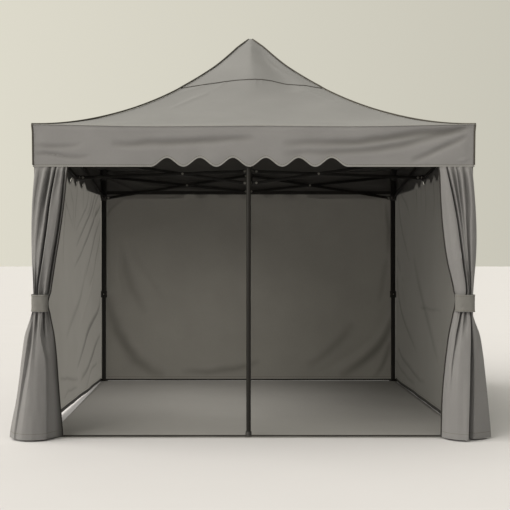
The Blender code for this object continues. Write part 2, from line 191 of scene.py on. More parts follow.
def powder_coated_steel():
    # Steel tube in baked polyester powder: near black, a little brown, half matt, with the
    # faint orange peel of the melted powder. The peel is drawn at 4 mm so that it shows.
    material, tree = empty_material("powder_coated_steel")
    place = add_node(tree, "TexCoord").outputs["Object"]
    peel = add_node(tree, "TexNoise", {"Vector": place, "Scale": 1 / PEEL_SIZE, "Detail": 2.0})
    cloud = add_node(tree, "TexNoise", {"Vector": place, "Scale": 9.0, "Detail": 3.0})
    tone = add_node(
        tree,
        "Mix",
        {0: cloud.outputs[0], 6: linear("#171614"), 7: linear("#211f1d")},
        data_type="RGBA",
    )
    sheen = add_node(tree, "MapRange", {0: cloud.outputs[0], 3: 0.45, 4: 0.6})
    bump = add_node(tree, "Bump", {"Strength": 0.12, "Distance": 0.0004, "Height": peel.outputs[0]})
    shader = add_node(
        tree,
        "BsdfPrincipled",
        {"Base Color": tone.outputs[2], "Roughness": sheen.outputs[0], "Normal": bump.outputs[0]},
    )
    shader.inputs["Specular IOR Level"].default_value = 0.22
    add_node(tree, "OutputMaterial", {"Surface": shader.outputs[0]})
    return material


def zinc_plated_steel():
    # Bolt heads and spring buttons: dark zinc with a slight grey cloud from handling.
    material, tree = empty_material("zinc_plated_steel")
    place = add_node(tree, "TexCoord").outputs["Object"]
    cloud = add_node(tree, "TexNoise", {"Vector": place, "Scale": 120.0, "Detail": 2.0})
    tone = add_node(
        tree,
        "Mix",
        {0: cloud.outputs[0], 6: linear("#807e79"), 7: linear("#a5a39c")},
        data_type="RGBA",
    )
    rough = add_node(tree, "MapRange", {0: cloud.outputs[0], 3: 0.28, 4: 0.45})
    shader = add_node(
        tree,
        "BsdfPrincipled",
        {"Base Color": tone.outputs[2], "Roughness": rough.outputs[0], "Metallic": 0.85},
    )
    add_node(tree, "OutputMaterial", {"Surface": shader.outputs[0]})
    return material


def merged_copy(node):
    """A CAD node's own mesh with its loose triangles merged into whole faces."""
    shape = bmesh.new()
    shape.from_mesh(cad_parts[node].data)
    bmesh.ops.remove_doubles(shape, verts=shape.verts, dist=0.00002)
    bmesh.ops.dissolve_limit(
        shape,
        angle_limit=math.radians(0.5),
        verts=shape.verts,
        edges=shape.edges,
    )
    return shape


def rounded(node, suffix, edge, material, steps=3):
    """A node's shape with its sharp edges rounded. The new piece stands for the node."""
    shape = merged_copy(node)
    sharp = [e for e in shape.edges if e.is_manifold and e.calc_face_angle() > math.radians(30)]
    bmesh.ops.bevel(
        shape,
        geom=sharp,
        offset=edge,
        offset_type="OFFSET",
        segments=steps,
        profile=0.5,
        affect="EDGES",
        clamp_overlap=True,
        material=-1,
    )
    piece = add_piece(f"{node}_{suffix}", shape, material)
    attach(piece, "root")
    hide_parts(node)
    return piece


def dome(shape, place, facing, radius, height):
    """A low domed head standing out of a flat face."""
    turn = Vector((0, 0, 1)).rotation_difference(Vector(facing)).to_matrix().to_4x4()
    scale = Matrix.Diagonal((radius, radius, height, 1))
    ball = bmesh.ops.create_uvsphere(
        shape, u_segments=12, v_segments=8, radius=1, matrix=Matrix.Translation(place) @ turn @ scale
    )
    buried = [v for v in ball["verts"] if (v.co - Vector(place)).dot(Vector(facing)) < -height / 3]
    bmesh.ops.delete(shape, geom=buried, context="VERTS")
    rim = [edge for edge in shape.edges if edge.is_boundary]
    bmesh.ops.holes_fill(shape, edges=rim, sides=0)


def fit_pieces(slot, *pieces):
    """Puts pieces on the gazebo, which is one body. The slot is not used."""
    for piece in pieces:
        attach(piece, "root")


coated_steel = powder_coated_steel()
plated_steel = zinc_plated_steel()
for corner in CORNERS:
    rounded(f"upper_leg_{corner}", "coated", TUBE_EDGE, coated_steel)
    rounded(f"lower_leg_{corner}", "coated", PLATE_EDGE, coated_steel)

# Each collar has a spring button on its two inner faces
for corner, (side_x, side_y) in zip(CORNERS, ((-1, -1), (1, -1), (1, 1), (-1, 1))):
    buttons = bmesh.new()
    for facing in (Vector((-side_x, 0, 0)), Vector((0, -side_y, 0))):
        middle = Vector((side_x * LEG_AT, side_y * LEG_AT, BUTTON_HEIGHT)) + facing * COLLAR_FACE
        dome(buttons, middle, facing, BUTTON_RADIUS, BUTTON_PROUD)
    fit_pieces("frame_steel", add_piece(f"leg_buttons_{corner}", buttons, plated_steel))


# Leg brackets and sliders
# One fixed bracket on top of each leg and one sliding sleeve below it, with paired ears for
# the truss bars. They are injection moulded in dark glass-filled nylon.

FITTING_EDGE = 0.0018
MOULD_GRAIN = 0.003


def moulded_nylon():
    # Glass-filled nylon from a spark-eroded mould: black, soft gloss, finely pitted. The
    # pitting is drawn at 3 mm so that it shows.
    material, tree = empty_material("moulded_nylon")
    place = add_node(tree, "TexCoord").outputs["Object"]
    grain = add_node(tree, "TexNoise", {"Vector": place, "Scale": 1 / MOULD_GRAIN, "Detail": 3.0})
    cloud = add_node(tree, "TexNoise", {"Vector": place, "Scale": 25.0, "Detail": 2.0})
    tone = add_node(
        tree,
        "Mix",
        {0: cloud.outputs[0], 6: linear("#1c1b1a"), 7: linear("#2a2826")},
        data_type="RGBA",
    )
    rough = add_node(tree, "MapRange", {0: grain.outputs[0], 3: 0.45, 4: 0.65})
    bump = add_node(tree, "Bump", {"Strength": 0.25, "Distance": 0.0003, "Height": grain.outputs[0]})
    shader = add_node(
        tree,
        "BsdfPrincipled",
        {"Base Color": tone.outputs[2], "Roughness": rough.outputs[0], "Normal": bump.outputs[0]},
    )
    add_node(tree, "OutputMaterial", {"Surface": shader.outputs[0]})
    return material


nylon = moulded_nylon()
for corner in CORNERS:
    for fitting in ("leg_bracket", "leg_slider"):
        rounded(f"{fitting}_{corner}", "moulded", FITTING_EDGE, nylon)


# Trusses
# Flat steel bars pinned in crossed pairs, two pairs on each side and one pair from each side
# to the mast. Bolts with domed heads and thin washers hold every crossing and every ear.

SIDES = ("front", "right", "back", "left")
BAR_EDGE = 0.002
BAR_APART = 0.0125
EAR_APART = 0.0113
BAR_OFFSET = 0.0065
BOLT_RADIUS = 0.0075
BOLT_HEAD = 0.0045
WASHER_RADIUS = 0.0105
WASHER_THICK = 0.0012
LEG_PIVOTS = (1.452, 2.116, 1.900)
MIDDLE_PIVOTS = (0.030, 2.127, 1.966)
EAR_PIVOT = 1.456
HUB_PIVOTS = (0.050, 2.021, 1.920)
FITTING_FACES = (-0.0125, 0.0165)


def bolt(shape, place, facing):
    """A washer with a domed head on it, against a face."""
    facing = Vector(facing)
    turn = Vector((0, 0, 1)).rotation_difference(facing).to_matrix().to_4x4()
    middle = Vector(place) + facing * WASHER_THICK / 2
    bmesh.ops.create_cone(
        shape,
        cap_ends=True,
        segments=16,
        radius1=WASHER_RADIUS,
        radius2=WASHER_RADIUS,
        depth=WASHER_THICK,
        matrix=Matrix.Translation(middle) @ turn,
    )
    dome(shape, Vector(place) + facing * WASHER_THICK, facing, BOLT_RADIUS, BOLT_HEAD)


def crossing(outer, inner):
    """Where a pair of bars cross, as a distance and a height. Each end gives the same three."""
    far, high_out, low_out = outer
    near, high_in, low_in = inner
    share = (high_out - low_out) / (high_out - low_out + high_in - low_in)
    return far + (near - far) * share, high_out + (low_in - high_out) * share


def side_bolts():
    """The bolts of the front truss, on both of its faces."""
    shape = bmesh.new()
    reach, height = crossing(LEG_PIVOTS, MIDDLE_PIVOTS)
    for side in (-1, 1):
        for face in (-1, 1):
            bolt(shape, (side * reach, face * BAR_APART - LEG_AT, height), (0, face, 0))
            for pivot, shift in ((1, -BAR_OFFSET), (2, BAR_OFFSET)):
                ear = shift + face * EAR_APART - LEG_AT
                bolt(shape, (side * LEG_PIVOTS[0], ear, LEG_PIVOTS[pivot]), (0, face, 0))
        for height_at in MIDDLE_PIVOTS[1:]:
            for face, out in zip((-1, 1), FITTING_FACES):
                bolt(shape, (side * MIDDLE_PIVOTS[0], out - LEG_AT, height_at), (0, face, 0))
    return shape


def cross_bolts():
    """The bolts of the truss from the front side's middle to the mast."""
    shape = bmesh.new()
    reach, height = crossing((EAR_PIVOT, *MIDDLE_PIVOTS[1:]), HUB_PIVOTS)
    for face in (-1, 1):
        bolt(shape, (face * BAR_APART, -reach, height), (face, 0, 0))
        for out, heights in ((EAR_PIVOT, MIDDLE_PIVOTS[1:]), (HUB_PIVOTS[0], HUB_PIVOTS[1:])):
            signs = (-1, 1) if out == EAR_PIVOT else (1, -1)
            for sign, height_at in zip(signs, heights):
                shift = sign * BAR_OFFSET + face * EAR_APART
                bolt(shape, (shift, -out, height_at), (face, 0, 0))
    return shape


def quarter_turns(count):
    """The turn that takes a piece from the front side to another one."""
    return Matrix.Rotation(count * math.pi / 2, 3, "Z")


for quarter, side in enumerate(SIDES):
    for truss, bolts in (("side_truss", side_bolts), ("cross_truss", cross_bolts)):
        bars = rounded(f"{truss}_{side}", "coated", BAR_EDGE, coated_steel, steps=2)
        shape = bolts()
        bmesh.ops.rotate(shape, cent=(0, 0, 0), matrix=quarter_turns(quarter), verts=shape.verts)
        fit_pieces("frame_steel", add_piece(f"{truss}_{side}_bolts", shape, plated_steel))


# Mast
# A round coated tube that the four inner trusses push up, with a nylon hub at each end of
# its travel and a blunt nylon head that the roof cloth rests on.

HUB_EDGE = 0.0012
RIM_EDGE = 0.002
ROUND_SIDES = 48


def round_tube(node):
    """A smooth round tube in the place of a CAD tube, with its two rims rounded."""
    low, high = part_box(node)
    middle = (low + high) / 2
    radius = (high.x - low.x) / 2
    shape = bmesh.new()
    bmesh.ops.create_cone(
        shape,
        cap_ends=True,
        segments=ROUND_SIDES,
        radius1=radius,
        radius2=radius,
        depth=high.z - low.z,
        matrix=Matrix.Translation(middle),
    )
    rims = [e for e in shape.edges if abs(e.verts[0].co.z - e.verts[1].co.z) < 0.001]
    bmesh.ops.bevel(
        shape,
        geom=rims,
        offset=RIM_EDGE,
        offset_type="OFFSET",
        segments=3,
        profile=0.5,
        affect="EDGES",
        clamp_overlap=True,
        material=-1,
    )
    piece = add_piece(f"{node}_coated", shape, coated_steel)
    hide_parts(node)
    fit_pieces("frame_steel", piece)


round_tube("mast")
for part in ("hub_upper", "hub_lower", "mast_head"):
    rounded(part, "moulded", HUB_EDGE, nylon, steps=2)


# Doorway post
# A round coated tube from a nylon foot on the groundsheet up to the front truss. The two
# door curtains would close against it.

round_tube("door_post")
rounded("door_post_foot", "moulded", HUB_EDGE, nylon, steps=2)


# Roof cloth
# One cover of woven polyester, sewn from four curved panels and drawn tight over the mast
# head and the tops of the legs. Its inside is coated dark, and piping closes each hip seam.

ROOF_HALF = 1.548
EAVE_HEIGHT = 2.190
EAVE_RISE = 0.211
ROOF_RISE = 0.980
EAVE_SAG = 0.0105
EAVE_SWAG = 0.0065
PANEL_COLUMNS = 112
PANEL_ROWS = 70
PANEL_BULGE = 0.055
PANEL_BULGE_ENDS = 0.9
PANEL_WAVES = 0.006
PANEL_WAVES_END = 1.30
PANEL_OUTWARDS = (0, -0.55, 0.83)
PEAK_BULGE = 0.32
PEAK_BULGE_FADES = (0.20, 0.75)
PEAK_ROUND = 0.035
PEAK_LIFT = 0.040
PEAK_SPREAD = 0.30
CROWN_TOP = 0.02
CROWN_FOOT = 0.12
CROWN_WIDTH = 1.12
RIDGE_SOFT = 0.005
RIDGE_ROUND = 0.006
FOLD_REACH = 3
FOLD_SWAY = 0.012
CLOTH_THICK = 0.0012
CAP_LIFT = 0.0035
CAP_ENDS = (0.54, 0.60)
YARN_PITCH = 0.0035
STITCH_PITCH = 0.008
STITCH_THICK = 0.0025
STITCH_COLOUR = "#605c54"
HIP_CORD = 0.0061
HIP_CORD_TOP = 0.020
HIP_CORD_LIFT = 0.0080
HIP_CORD_SINK = 0.7
HIP_CORD_SINKS = (1.0, 1.45)

# Each crease is a line of points, its width, and how far it stands out of the cloth or into it
PANEL_CREASES = (
    (((0.05, 0.04), (0.11, 0.18), (0.19, 0.32), (0.28, 0.46), (0.36, 0.62)), 0.085, -0.0170),
    (((-0.64, 0.90), (-0.553, 0.818), (-0.426, 0.70), (-0.33, 0.63)), 0.016, 0.0055),
    (((-0.70, 0.73), (-0.626, 0.668), (-0.50, 0.60), (-0.385, 0.525)), 0.013, 0.0050),
    (((-0.50, 0.56), (-0.40, 0.545), (-0.30, 0.49)), 0.010, 0.0035),
    (((-0.30, 0.60), (-0.24, 0.54), (-0.20, 0.48)), 0.009, 0.0030),
    (((0.30, 0.50), (0.39, 0.562), (0.579, 0.712), (0.68, 0.80)), 0.014, 0.0050),
    (((0.33, 0.47), (0.45, 0.55), (0.60, 0.66)), 0.012, 0.0040),
    (((0.12, 0.20), (0.20, 0.296), (0.32, 0.41), (0.436, 0.512)), 0.016, 0.0055),
    (((0.02, 0.38), (0.025, 0.46), (0.03, 0.56)), 0.009, 0.0025),
    (((0.07, 0.40), (0.08, 0.46), (0.09, 0.54)), 0.009, 0.0025),
)


def woven_polyester(name, light, dark, stitch_rows=(), shows_through=0.0, crease_shade=None):
    # Plain-woven polyester, dyed grey and proofed: matt with a faint sheen and a little clouded.
    # Painted shade darkens it where it is deeply creased. The yarns are drawn 3.5 mm apart and the
    # hem's stitches 2.5 mm thick so that they show. Light from behind shows through a thin cloth
    # that isn't coated.
    material, tree = empty_material(name)
    weave = add_node(tree, "UVMap", uv_map="weave").outputs[0]
    warp = add_node(tree, "TexWave", {"Vector": weave, "Scale": math.pi / 10 / YARN_PITCH})
    weft = add_node(
        tree, "TexWave", {"Vector": weave, "Scale": math.pi / 10 / YARN_PITCH}, bands_direction="Y"
    )
    yarns = add_node(tree, "Math", {0: warp.outputs[1], 1: weft.outputs[1]}, operation="MAXIMUM")
    cloud = add_node(tree, "TexNoise", {"Vector": weave, "Scale": 3.0, "Detail": 4.0})
    slub = add_node(tree, "TexNoise", {"Vector": weave, "Scale": 60.0, "Detail": 2.0})
    mottle = add_node(tree, "Mix", {0: 0.3, 2: cloud.outputs[0], 3: slub.outputs[0]})
    spread = add_node(tree, "MapRange", {0: mottle.outputs[0], 1: 0.35, 2: 0.65})
    tone = add_node(
        tree,
        "Mix",
        {0: spread.outputs[0], 6: linear(dark), 7: linear(light)},
        data_type="RGBA",
    )
    # Painted shade: the tone is mixed towards a darker colour as far as the crease map says the cloth is
    # creased
    if crease_shade:
        crease_shade_map = add_node(tree, "UVMap", uv_map="crease").outputs[0]
        tone = add_node(
            tree,
            "Mix",
            {0: add_node(tree, "SeparateXYZ", {0: crease_shade_map}).outputs[0], 6: tone.outputs[2], 7: linear(crease_shade)},
            data_type="RGBA",
        )
    for height in stitch_rows:
        edges = add_node(tree, "SeparateXYZ", {0: weave})
        row = add_node(
            tree, "Math", {0: edges.outputs[1], 1: height, 2: STITCH_THICK / 2}, operation="COMPARE"
        )
        dash = add_node(tree, "Math", {0: edges.outputs[0], 1: STITCH_PITCH}, operation="PINGPONG")
        gap = add_node(tree, "Math", {0: dash.outputs[0], 1: STITCH_PITCH / 4}, operation="GREATER_THAN")
        stitch = add_node(tree, "Math", {0: row.outputs[0], 1: gap.outputs[0]}, operation="MULTIPLY")
        tone = add_node(
            tree,
            "Mix",
            {0: stitch.outputs[0], 6: tone.outputs[2], 7: linear(STITCH_COLOUR)},
            data_type="RGBA",
        )
    relief = add_node(tree, "Math", {0: yarns.outputs[0], 1: slub.outputs[0]}, operation="ADD")
    bump = add_node(tree, "Bump", {"Strength": 0.2, "Distance": 0.0004, "Height": relief.outputs[0]})
    rough = add_node(tree, "MapRange", {0: slub.outputs[0], 3: 0.72, 4: 0.9})
    shader = add_node(
        tree,
        "BsdfPrincipled",
        {"Base Color": tone.outputs[2], "Roughness": rough.outputs[0], "Normal": bump.outputs[0]},
    )
    shader.inputs["Specular IOR Level"].default_value = 0.3
    shader.inputs["Sheen Weight"].default_value = 0.08
    shader.inputs["Sheen Roughness"].default_value = 0.5
    surface = shader.outputs[0]
    if shows_through:
        glow = add_node(tree, "BsdfTranslucent", {"Color": tone.outputs[2]})
        both = add_node(tree, "MixShader", {0: shows_through, 1: surface, 2: glow.outputs[0]})
        surface = both.outputs[0]
    add_node(tree, "OutputMaterial", {"Surface": surface})
    return material


def smooth_share(low, high, value):
    """0 below low, 1 above high, and a smooth curve between them."""
    share = min(max((value - low) / (high - low), 0.0), 1.0)
    return share * share * (3 - 2 * share)


def soft_folds(folds):
    """The folds with the corners of their lines cut off, so that they curve."""
    curved = []
    for line, width, height in folds:
        points = [Vector(line[0])]
        for start, end in zip(line, line[1:]):
            points.append(Vector(start).lerp(Vector(end), 0.25))
            points.append(Vector(start).lerp(Vector(end), 0.75))
        points.append(Vector(line[-1]))
        low = min(point.x for point in points) - FOLD_REACH * width
        high = max(point.x for point in points) + FOLD_REACH * width
        curved.append((points, width, height, low, high))
    return curved


def fold_rise(folds, across, along):
    """How far the cloth stands out at a place, from soft folds that taper at both ends."""
    sway = FOLD_SWAY * noise.noise(Vector((across * 7.0, along * 7.0, 0.5)))
    place = Vector((across + sway, along + sway))
    rise = 0.0
    for points, width, height, low, high in folds:
        if not low < place.x < high:
            continue
        nearest = FOLD_REACH * width
        share = 0.0
        for count, (start, end) in enumerate(zip(points, points[1:])):
            run = end - start
            part = min(max((place - start).dot(run) / run.length_squared, 0.0), 1.0)
            away = (place - start - run * part).length
            if away < nearest:
                nearest = away
                share = (count + part) / (len(points) - 1)
        if nearest < FOLD_REACH * width:
            taper = math.sin(math.pi * min(share, 0.999)) ** 0.7
            rise += height * taper * math.exp(-((nearest / width) ** 2))
    return rise


def flat_cloth(columns, rows, width, length):
    """A cloth lying flat, from 0 to 1 each way, with its weave coordinates in metres."""
    shape = bmesh.new()
    middle = Matrix.Translation((0.5, 0.5, 0))
    bmesh.ops.create_grid(shape, x_segments=columns, y_segments=rows, size=0.5, matrix=middle)
    weave = shape.loops.layers.uv.new("weave")
    for face in shape.faces:
        for loop in face.loops:
            loop[weave].uv = (loop.vert.co.x * width, loop.vert.co.y * length)
    return shape


def thick_cloth(piece, thickness, lined=False):
    """Gives a cloth its thickness behind its face. A lined one has its second material there."""
    sheet = piece.modifiers.new("cloth", "SOLIDIFY")
    sheet.thickness = thickness
    sheet.offset = -1
    if lined:
        sheet.material_offset = 1


def sewn_cord(line, radius, sides=8, tall=1.0):
    """A cord along a line of points, closed at both ends. tall makes it an upright tape.

    Its weave coordinates follow its own height and length.
    """
    shape = bmesh.new()
    rings = []
    for count, point in enumerate(line):
        run = line[min(count + 1, len(line) - 1)] - line[max(count - 1, 0)]
        turn = run.to_track_quat("Z", "Y").to_matrix().to_4x4()
        place = Matrix.Translation(point) @ turn @ Matrix.Diagonal((1, tall, 1, 1))
        ring = bmesh.ops.create_circle(shape, segments=sides, radius=radius, matrix=place)
        edges = [edge for vert in ring["verts"] for edge in vert.link_edges]
        rings.append(list(dict.fromkeys(edges)))
    for first, second in zip(rings, rings[1:]):
        bmesh.ops.bridge_loops(shape, edges=[*first, *second])
    bmesh.ops.holes_fill(shape, edges=[*rings[0], *rings[-1]], sides=0)
    bmesh.ops.recalc_face_normals(shape, faces=shape.faces)
    weave = shape.loops.layers.uv.new("weave")
    for face in shape.faces:
        for loop in face.loops:
            loop[weave].uv = (loop.vert.co.x + loop.vert.co.y, loop.vert.co.z)
    return shape


def roof_height(reach):
    """The height of the roof's middle line and hips above a distance from the middle."""
    climb = 1 - reach / ROOF_HALF
    return EAVE_HEIGHT + EAVE_RISE * climb + (ROOF_RISE - EAVE_RISE) * climb * climb


def eave_drop(across):
    """How far the eave sags at a share of its half length, held up at its middle."""
    return EAVE_SAG * (1 - across * across) + EAVE_SWAG * math.sin(math.pi * across) ** 2


def ridge_share(across):
    """The soft fold down the middle of each panel, 1 on it and 0 at the hips."""
    soft = math.sqrt(across * across + RIDGE_SOFT) / math.sqrt(1 + RIDGE_SOFT)
    return 1 - soft + RIDGE_ROUND * (1 - across * across)


def roof_place(across, reach, lift=0.0):
    """A point of the front panel, from its share between the hips and its distance out."""
    steep = 1 - smooth_share(*PEAK_BULGE_FADES, reach)
    bulge = reach * (PANEL_BULGE + PEAK_BULGE * steep)
    bulge *= 1 - smooth_share(PANEL_BULGE_ENDS, ROOF_HALF, reach)
    place = Vector((across * reach, -reach - bulge * ridge_share(across), 0))
    if 0 < reach < CROWN_FOOT:
        rounding = 1 - smooth_share(CROWN_TOP, CROWN_FOOT, reach)
        ring = place.normalized() * reach * CROWN_WIDTH
        place = place.lerp(ring, rounding)
    place.z = roof_height(math.hypot(reach, PEAK_ROUND))
    place.z += PEAK_LIFT * max(1 - reach / PEAK_SPREAD, 0) ** 1.3
    place.z -= eave_drop(across) * (reach / ROOF_HALF) ** 4
    place.z += lift
    inside = (1 - across ** 8) * smooth_share(0.02, 0.2, reach)
    waves = noise.noise(Vector((across * reach * 3.0, reach * 4.0, 2.0))) * PANEL_WAVES
    waves *= 1 - smooth_share(PANEL_WAVES_END, ROOF_HALF, reach)
    return place + Vector(PANEL_OUTWARDS) * inside * (
        waves + fold_rise(PANEL_FOLDS, across * reach, reach)
    )


def roof_panels(columns, rows, reach_at, lift=0.0):
    """Four like panels merged into one cover. reach_at gives a row's distance from the peak."""
    shape = flat_cloth(columns, rows, 1, 1)
    weave = shape.loops.layers.uv["weave"]
    for vert in shape.verts:
        across = 2 * vert.co.x - 1
        vert.co = roof_place(across, reach_at(across, vert.co.y), lift)
    for face in shape.faces:
        for loop in face.loops:
            loop[weave].uv = (loop.vert.co.x, -1.2 * loop.vert.co.y)
    panel = shape.faces[:]
    for quarter in (1, 2, 3):
        copy = bmesh.ops.duplicate(shape, geom=panel)
        corners = [item for item in copy["geom"] if isinstance(item, bmesh.types.BMVert)]
        bmesh.ops.rotate(shape, cent=(0, 0, 0), matrix=quarter_turns(quarter), verts=corners)
    bmesh.ops.remove_doubles(shape, verts=shape.verts, dist=0.0004)
    bmesh.ops.recalc_face_normals(shape, faces=shape.faces)
    if sum(face.normal.z for face in shape.faces) < 0:
        bmesh.ops.reverse_faces(shape, faces=shape.faces)
    return shape


def canopy_cloth(name, shape, cloth, node):
    """A cloth of the canopy, coated on its inside, in the place of a CAD node."""
    piece = add_piece(name, shape, cloth, dark_coating, smooth_below=60)
    thick_cloth(piece, CLOTH_THICK, lined=True)
    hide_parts(node)
    fit_pieces("canopy_cloth", piece)
    return piece


PANEL_FOLDS = soft_folds(PANEL_CREASES)
roof_grey = woven_polyester("woven_polyester_roof", "#7e7e7f", "#79797a")
dark_coating = woven_polyester("polyurethane_coated_inside", "#575653", "#514f4d")
hip_binding = woven_polyester("polyester_piping_dark", "#48443e", "#3c3934")

cover = roof_panels(PANEL_COLUMNS, PANEL_ROWS, lambda across, row: ROOF_HALF * row ** 1.2)
roof = canopy_cloth("roof_cover", cover, roof_grey, "roof_cloth")

hip_line = []
for step in range(91):
    reach = HIP_CORD_TOP + (ROOF_HALF - HIP_CORD_TOP) * step / 90
    over_cap = CAP_LIFT * (1 - smooth_share(*CAP_ENDS, reach))
    low_end = 1 - HIP_CORD_SINK * smooth_share(*HIP_CORD_SINKS, reach)
    raised = HIP_CORD_LIFT * low_end * smooth_share(0.0, 0.08, reach)
    hip_line.append(roof_place(1, reach, over_cap + raised))
hips = []
for quarter in range(4):
    turn = quarter_turns(quarter)
    cord = sewn_cord([turn @ point for point in hip_line], HIP_CORD)
    hips.append(add_piece(f"hip_piping_{CORNERS[(quarter + 1) % 4]}", cord, hip_binding))
fit_pieces("canopy_cloth", *hips)


# Roof cap
# A second layer of the same cloth over the peak, which sheds rain past the mast head. It is
# hemmed with a narrow dark binding that curves up to the middle of each panel.

CAP_MIDDLE = 0.470
CAP_CORNER = 0.572
CAP_RIDGE_DIP = 0.012
CAP_RIDGE_WIDTH = 0.35
CAP_BINDING = 0.0022


def cap_reach(across):
    """How far down the cap comes at a share between the hips."""
    middle = CAP_RIDGE_DIP * (1 - smooth_share(0, CAP_RIDGE_WIDTH, abs(across)))
    return CAP_MIDDLE + middle + (CAP_CORNER - CAP_MIDDLE) * abs(across) ** 1.6


cap_cover = roof_panels(56, 34, lambda across, row: cap_reach(across) * row ** 1.1, CAP_LIFT)
cap = canopy_cloth("roof_cap_cover", cap_cover, roof_grey, "roof_cap")

hem_line = [roof_place(s / 30, cap_reach(s / 30), CAP_LIFT) for s in range(-30, 31)]
cap_hems = []
for quarter, side in enumerate(SIDES):
    turn = quarter_turns(quarter)
    tape = sewn_cord([turn @ point for point in hem_line], CAP_BINDING, sides=6)
    cap_hems.append(add_piece(f"cap_binding_{side}", tape, hip_binding))
fit_pieces("canopy_cloth", *cap_hems)


# Valances
# A band of the roof's cloth hangs from each eave, with six scallops cut in its middle, and
# the side ones climb a little towards the back. Tape binds the hems, a rolled seam joins each
# band to the roof, and piping closes each corner. Painted shade darkens the bands' creases,
# and the seams' light colour is a painted highlight.

VALANCE_FACE = 1.543
VALANCE_LOW = 1.898
VALANCE_TUCK = 0.001
VALANCE_FLARE = 0.0035
VALANCE_WAVES = 0.006
VALANCE_BELLY = 0.008
VALANCE_CREASE_SHADE_FULL = 0.034
SCALLOPS = 6
SCALLOP_CUTS = (
    (0.2305, -0.030, 0.062),
    (0.242, -0.145, 0.055),
    (0.2305, 0.030, 0.062),
    (0.295, 0.215, 0.062),
)
HEM_CLIMBS = (0.0, 0.022, 0.0, -0.022)
HEM_CLIMB_ENDS = (1.44, 1.53)
HEM_TAPE = 0.0018
HEM_TALL = 2.4
EAVE_CORD = 0.0026
DRAW_IN = 0.0018
VALANCE_CREASES = (
    (((1.56, 2.185), (1.42, 2.158), (1.10, 2.116), (0.83, 2.074), (0.56, 2.060), (0.20, 2.056)),
     0.026, -0.020),
    (((1.50, 2.165), (1.32, 2.124), (1.16, 2.069), (0.94, 2.020), (0.67, 1.994), (0.21, 1.982)),
     0.024, -0.015),
    (((1.50, 2.110), (1.43, 2.075), (1.31, 2.022), (1.20, 1.968), (1.10, 1.935)), 0.020, -0.013),
    (((-1.00, 2.045), (-0.71, 2.060), (-0.34, 2.078), (0.02, 2.090)), 0.024, -0.015),
    (((-1.56, 1.985), (-1.42, 1.990), (-1.31, 1.968), (-1.15, 1.955)), 0.015, -0.010),
    (((-1.56, 2.050), (-1.40, 2.035), (-1.20, 2.045)), 0.016, -0.008),
    (((1.42, 1.930), (1.48, 1.944), (1.56, 1.972)), 0.010, 0.005),
)


def scallop_rise(across, cut):
    """How far the hem rises in the arches. cut is their width, their middle and their height."""
    pitch, shift, high = cut
    along = (across - shift) / pitch + SCALLOPS / 2
    if 0 < along < SCALLOPS:
        return high * (1 - math.cos(2 * math.pi * along)) / 2
    return 0.0


def hem_climb(across, climb):
    """How far a side hem is drawn up on its way to the back, until just before the corner."""
    return max(across * climb, 0.0) * (1 - smooth_share(*HEM_CLIMB_ENDS, abs(across)))


def valance_place(across, up, cut, climb=0.0):
    """A point of a valance as at the front, from -1 to 1 across and from its hem up."""
    half = VALANCE_FACE * (1 - DRAW_IN * (1 - up)) + VALANCE_FLARE * smooth_share(0.8, 1, up)
    low = VALANCE_LOW + scallop_rise(across * VALANCE_FACE, cut)
    low += hem_climb(across * VALANCE_FACE, climb)
    high = EAVE_HEIGHT - VALANCE_TUCK - eave_drop(across)
    height = low + (high - low) * up
    free = smooth_share(0, 0.06, 1 - abs(across)) * smooth_share(0, 0.12, 1 - up)
    waves = noise.noise(Vector((across * 5.0, height * 9.0, 7.0))) * VALANCE_WAVES
    folds = fold_rise(VALANCE_FOLDS, across * VALANCE_FACE, height)
    out = VALANCE_BELLY * math.sin(math.pi * up) + waves + folds
    return Vector((across * half, -half - free * out, height))


def map_crease_shade(shape, folds, axis, full):
    """Keeps how deep the creases are, as a share of full, in a map of its own, which paints shade into them.
    """
    crease = shape.loops.layers.uv.new("crease")
    for vert in shape.verts:
        depth = -fold_rise(folds, vert.co[axis], vert.co.z)
        for loop in vert.link_loops:
            loop[crease].uv = (min(max(depth / full, 0), 1), 0)


VALANCE_FOLDS = soft_folds(VALANCE_CREASES)
# The valance cloth's creases are darkened with painted shade
valance_grey = woven_polyester(
    "woven_polyester_valance", "#828182", "#7d7c7d", stitch_rows=(0.011,), crease_shade="#565451"
)
# A light binding tape for the hems. The eave seams take the same light colour, a painted highlight where the
# rolled seam catches the light
light_binding_and_seam_highlight = woven_polyester("polyester_binding_and_painted_seam_highlight", "#8f8e8c", "#878684")

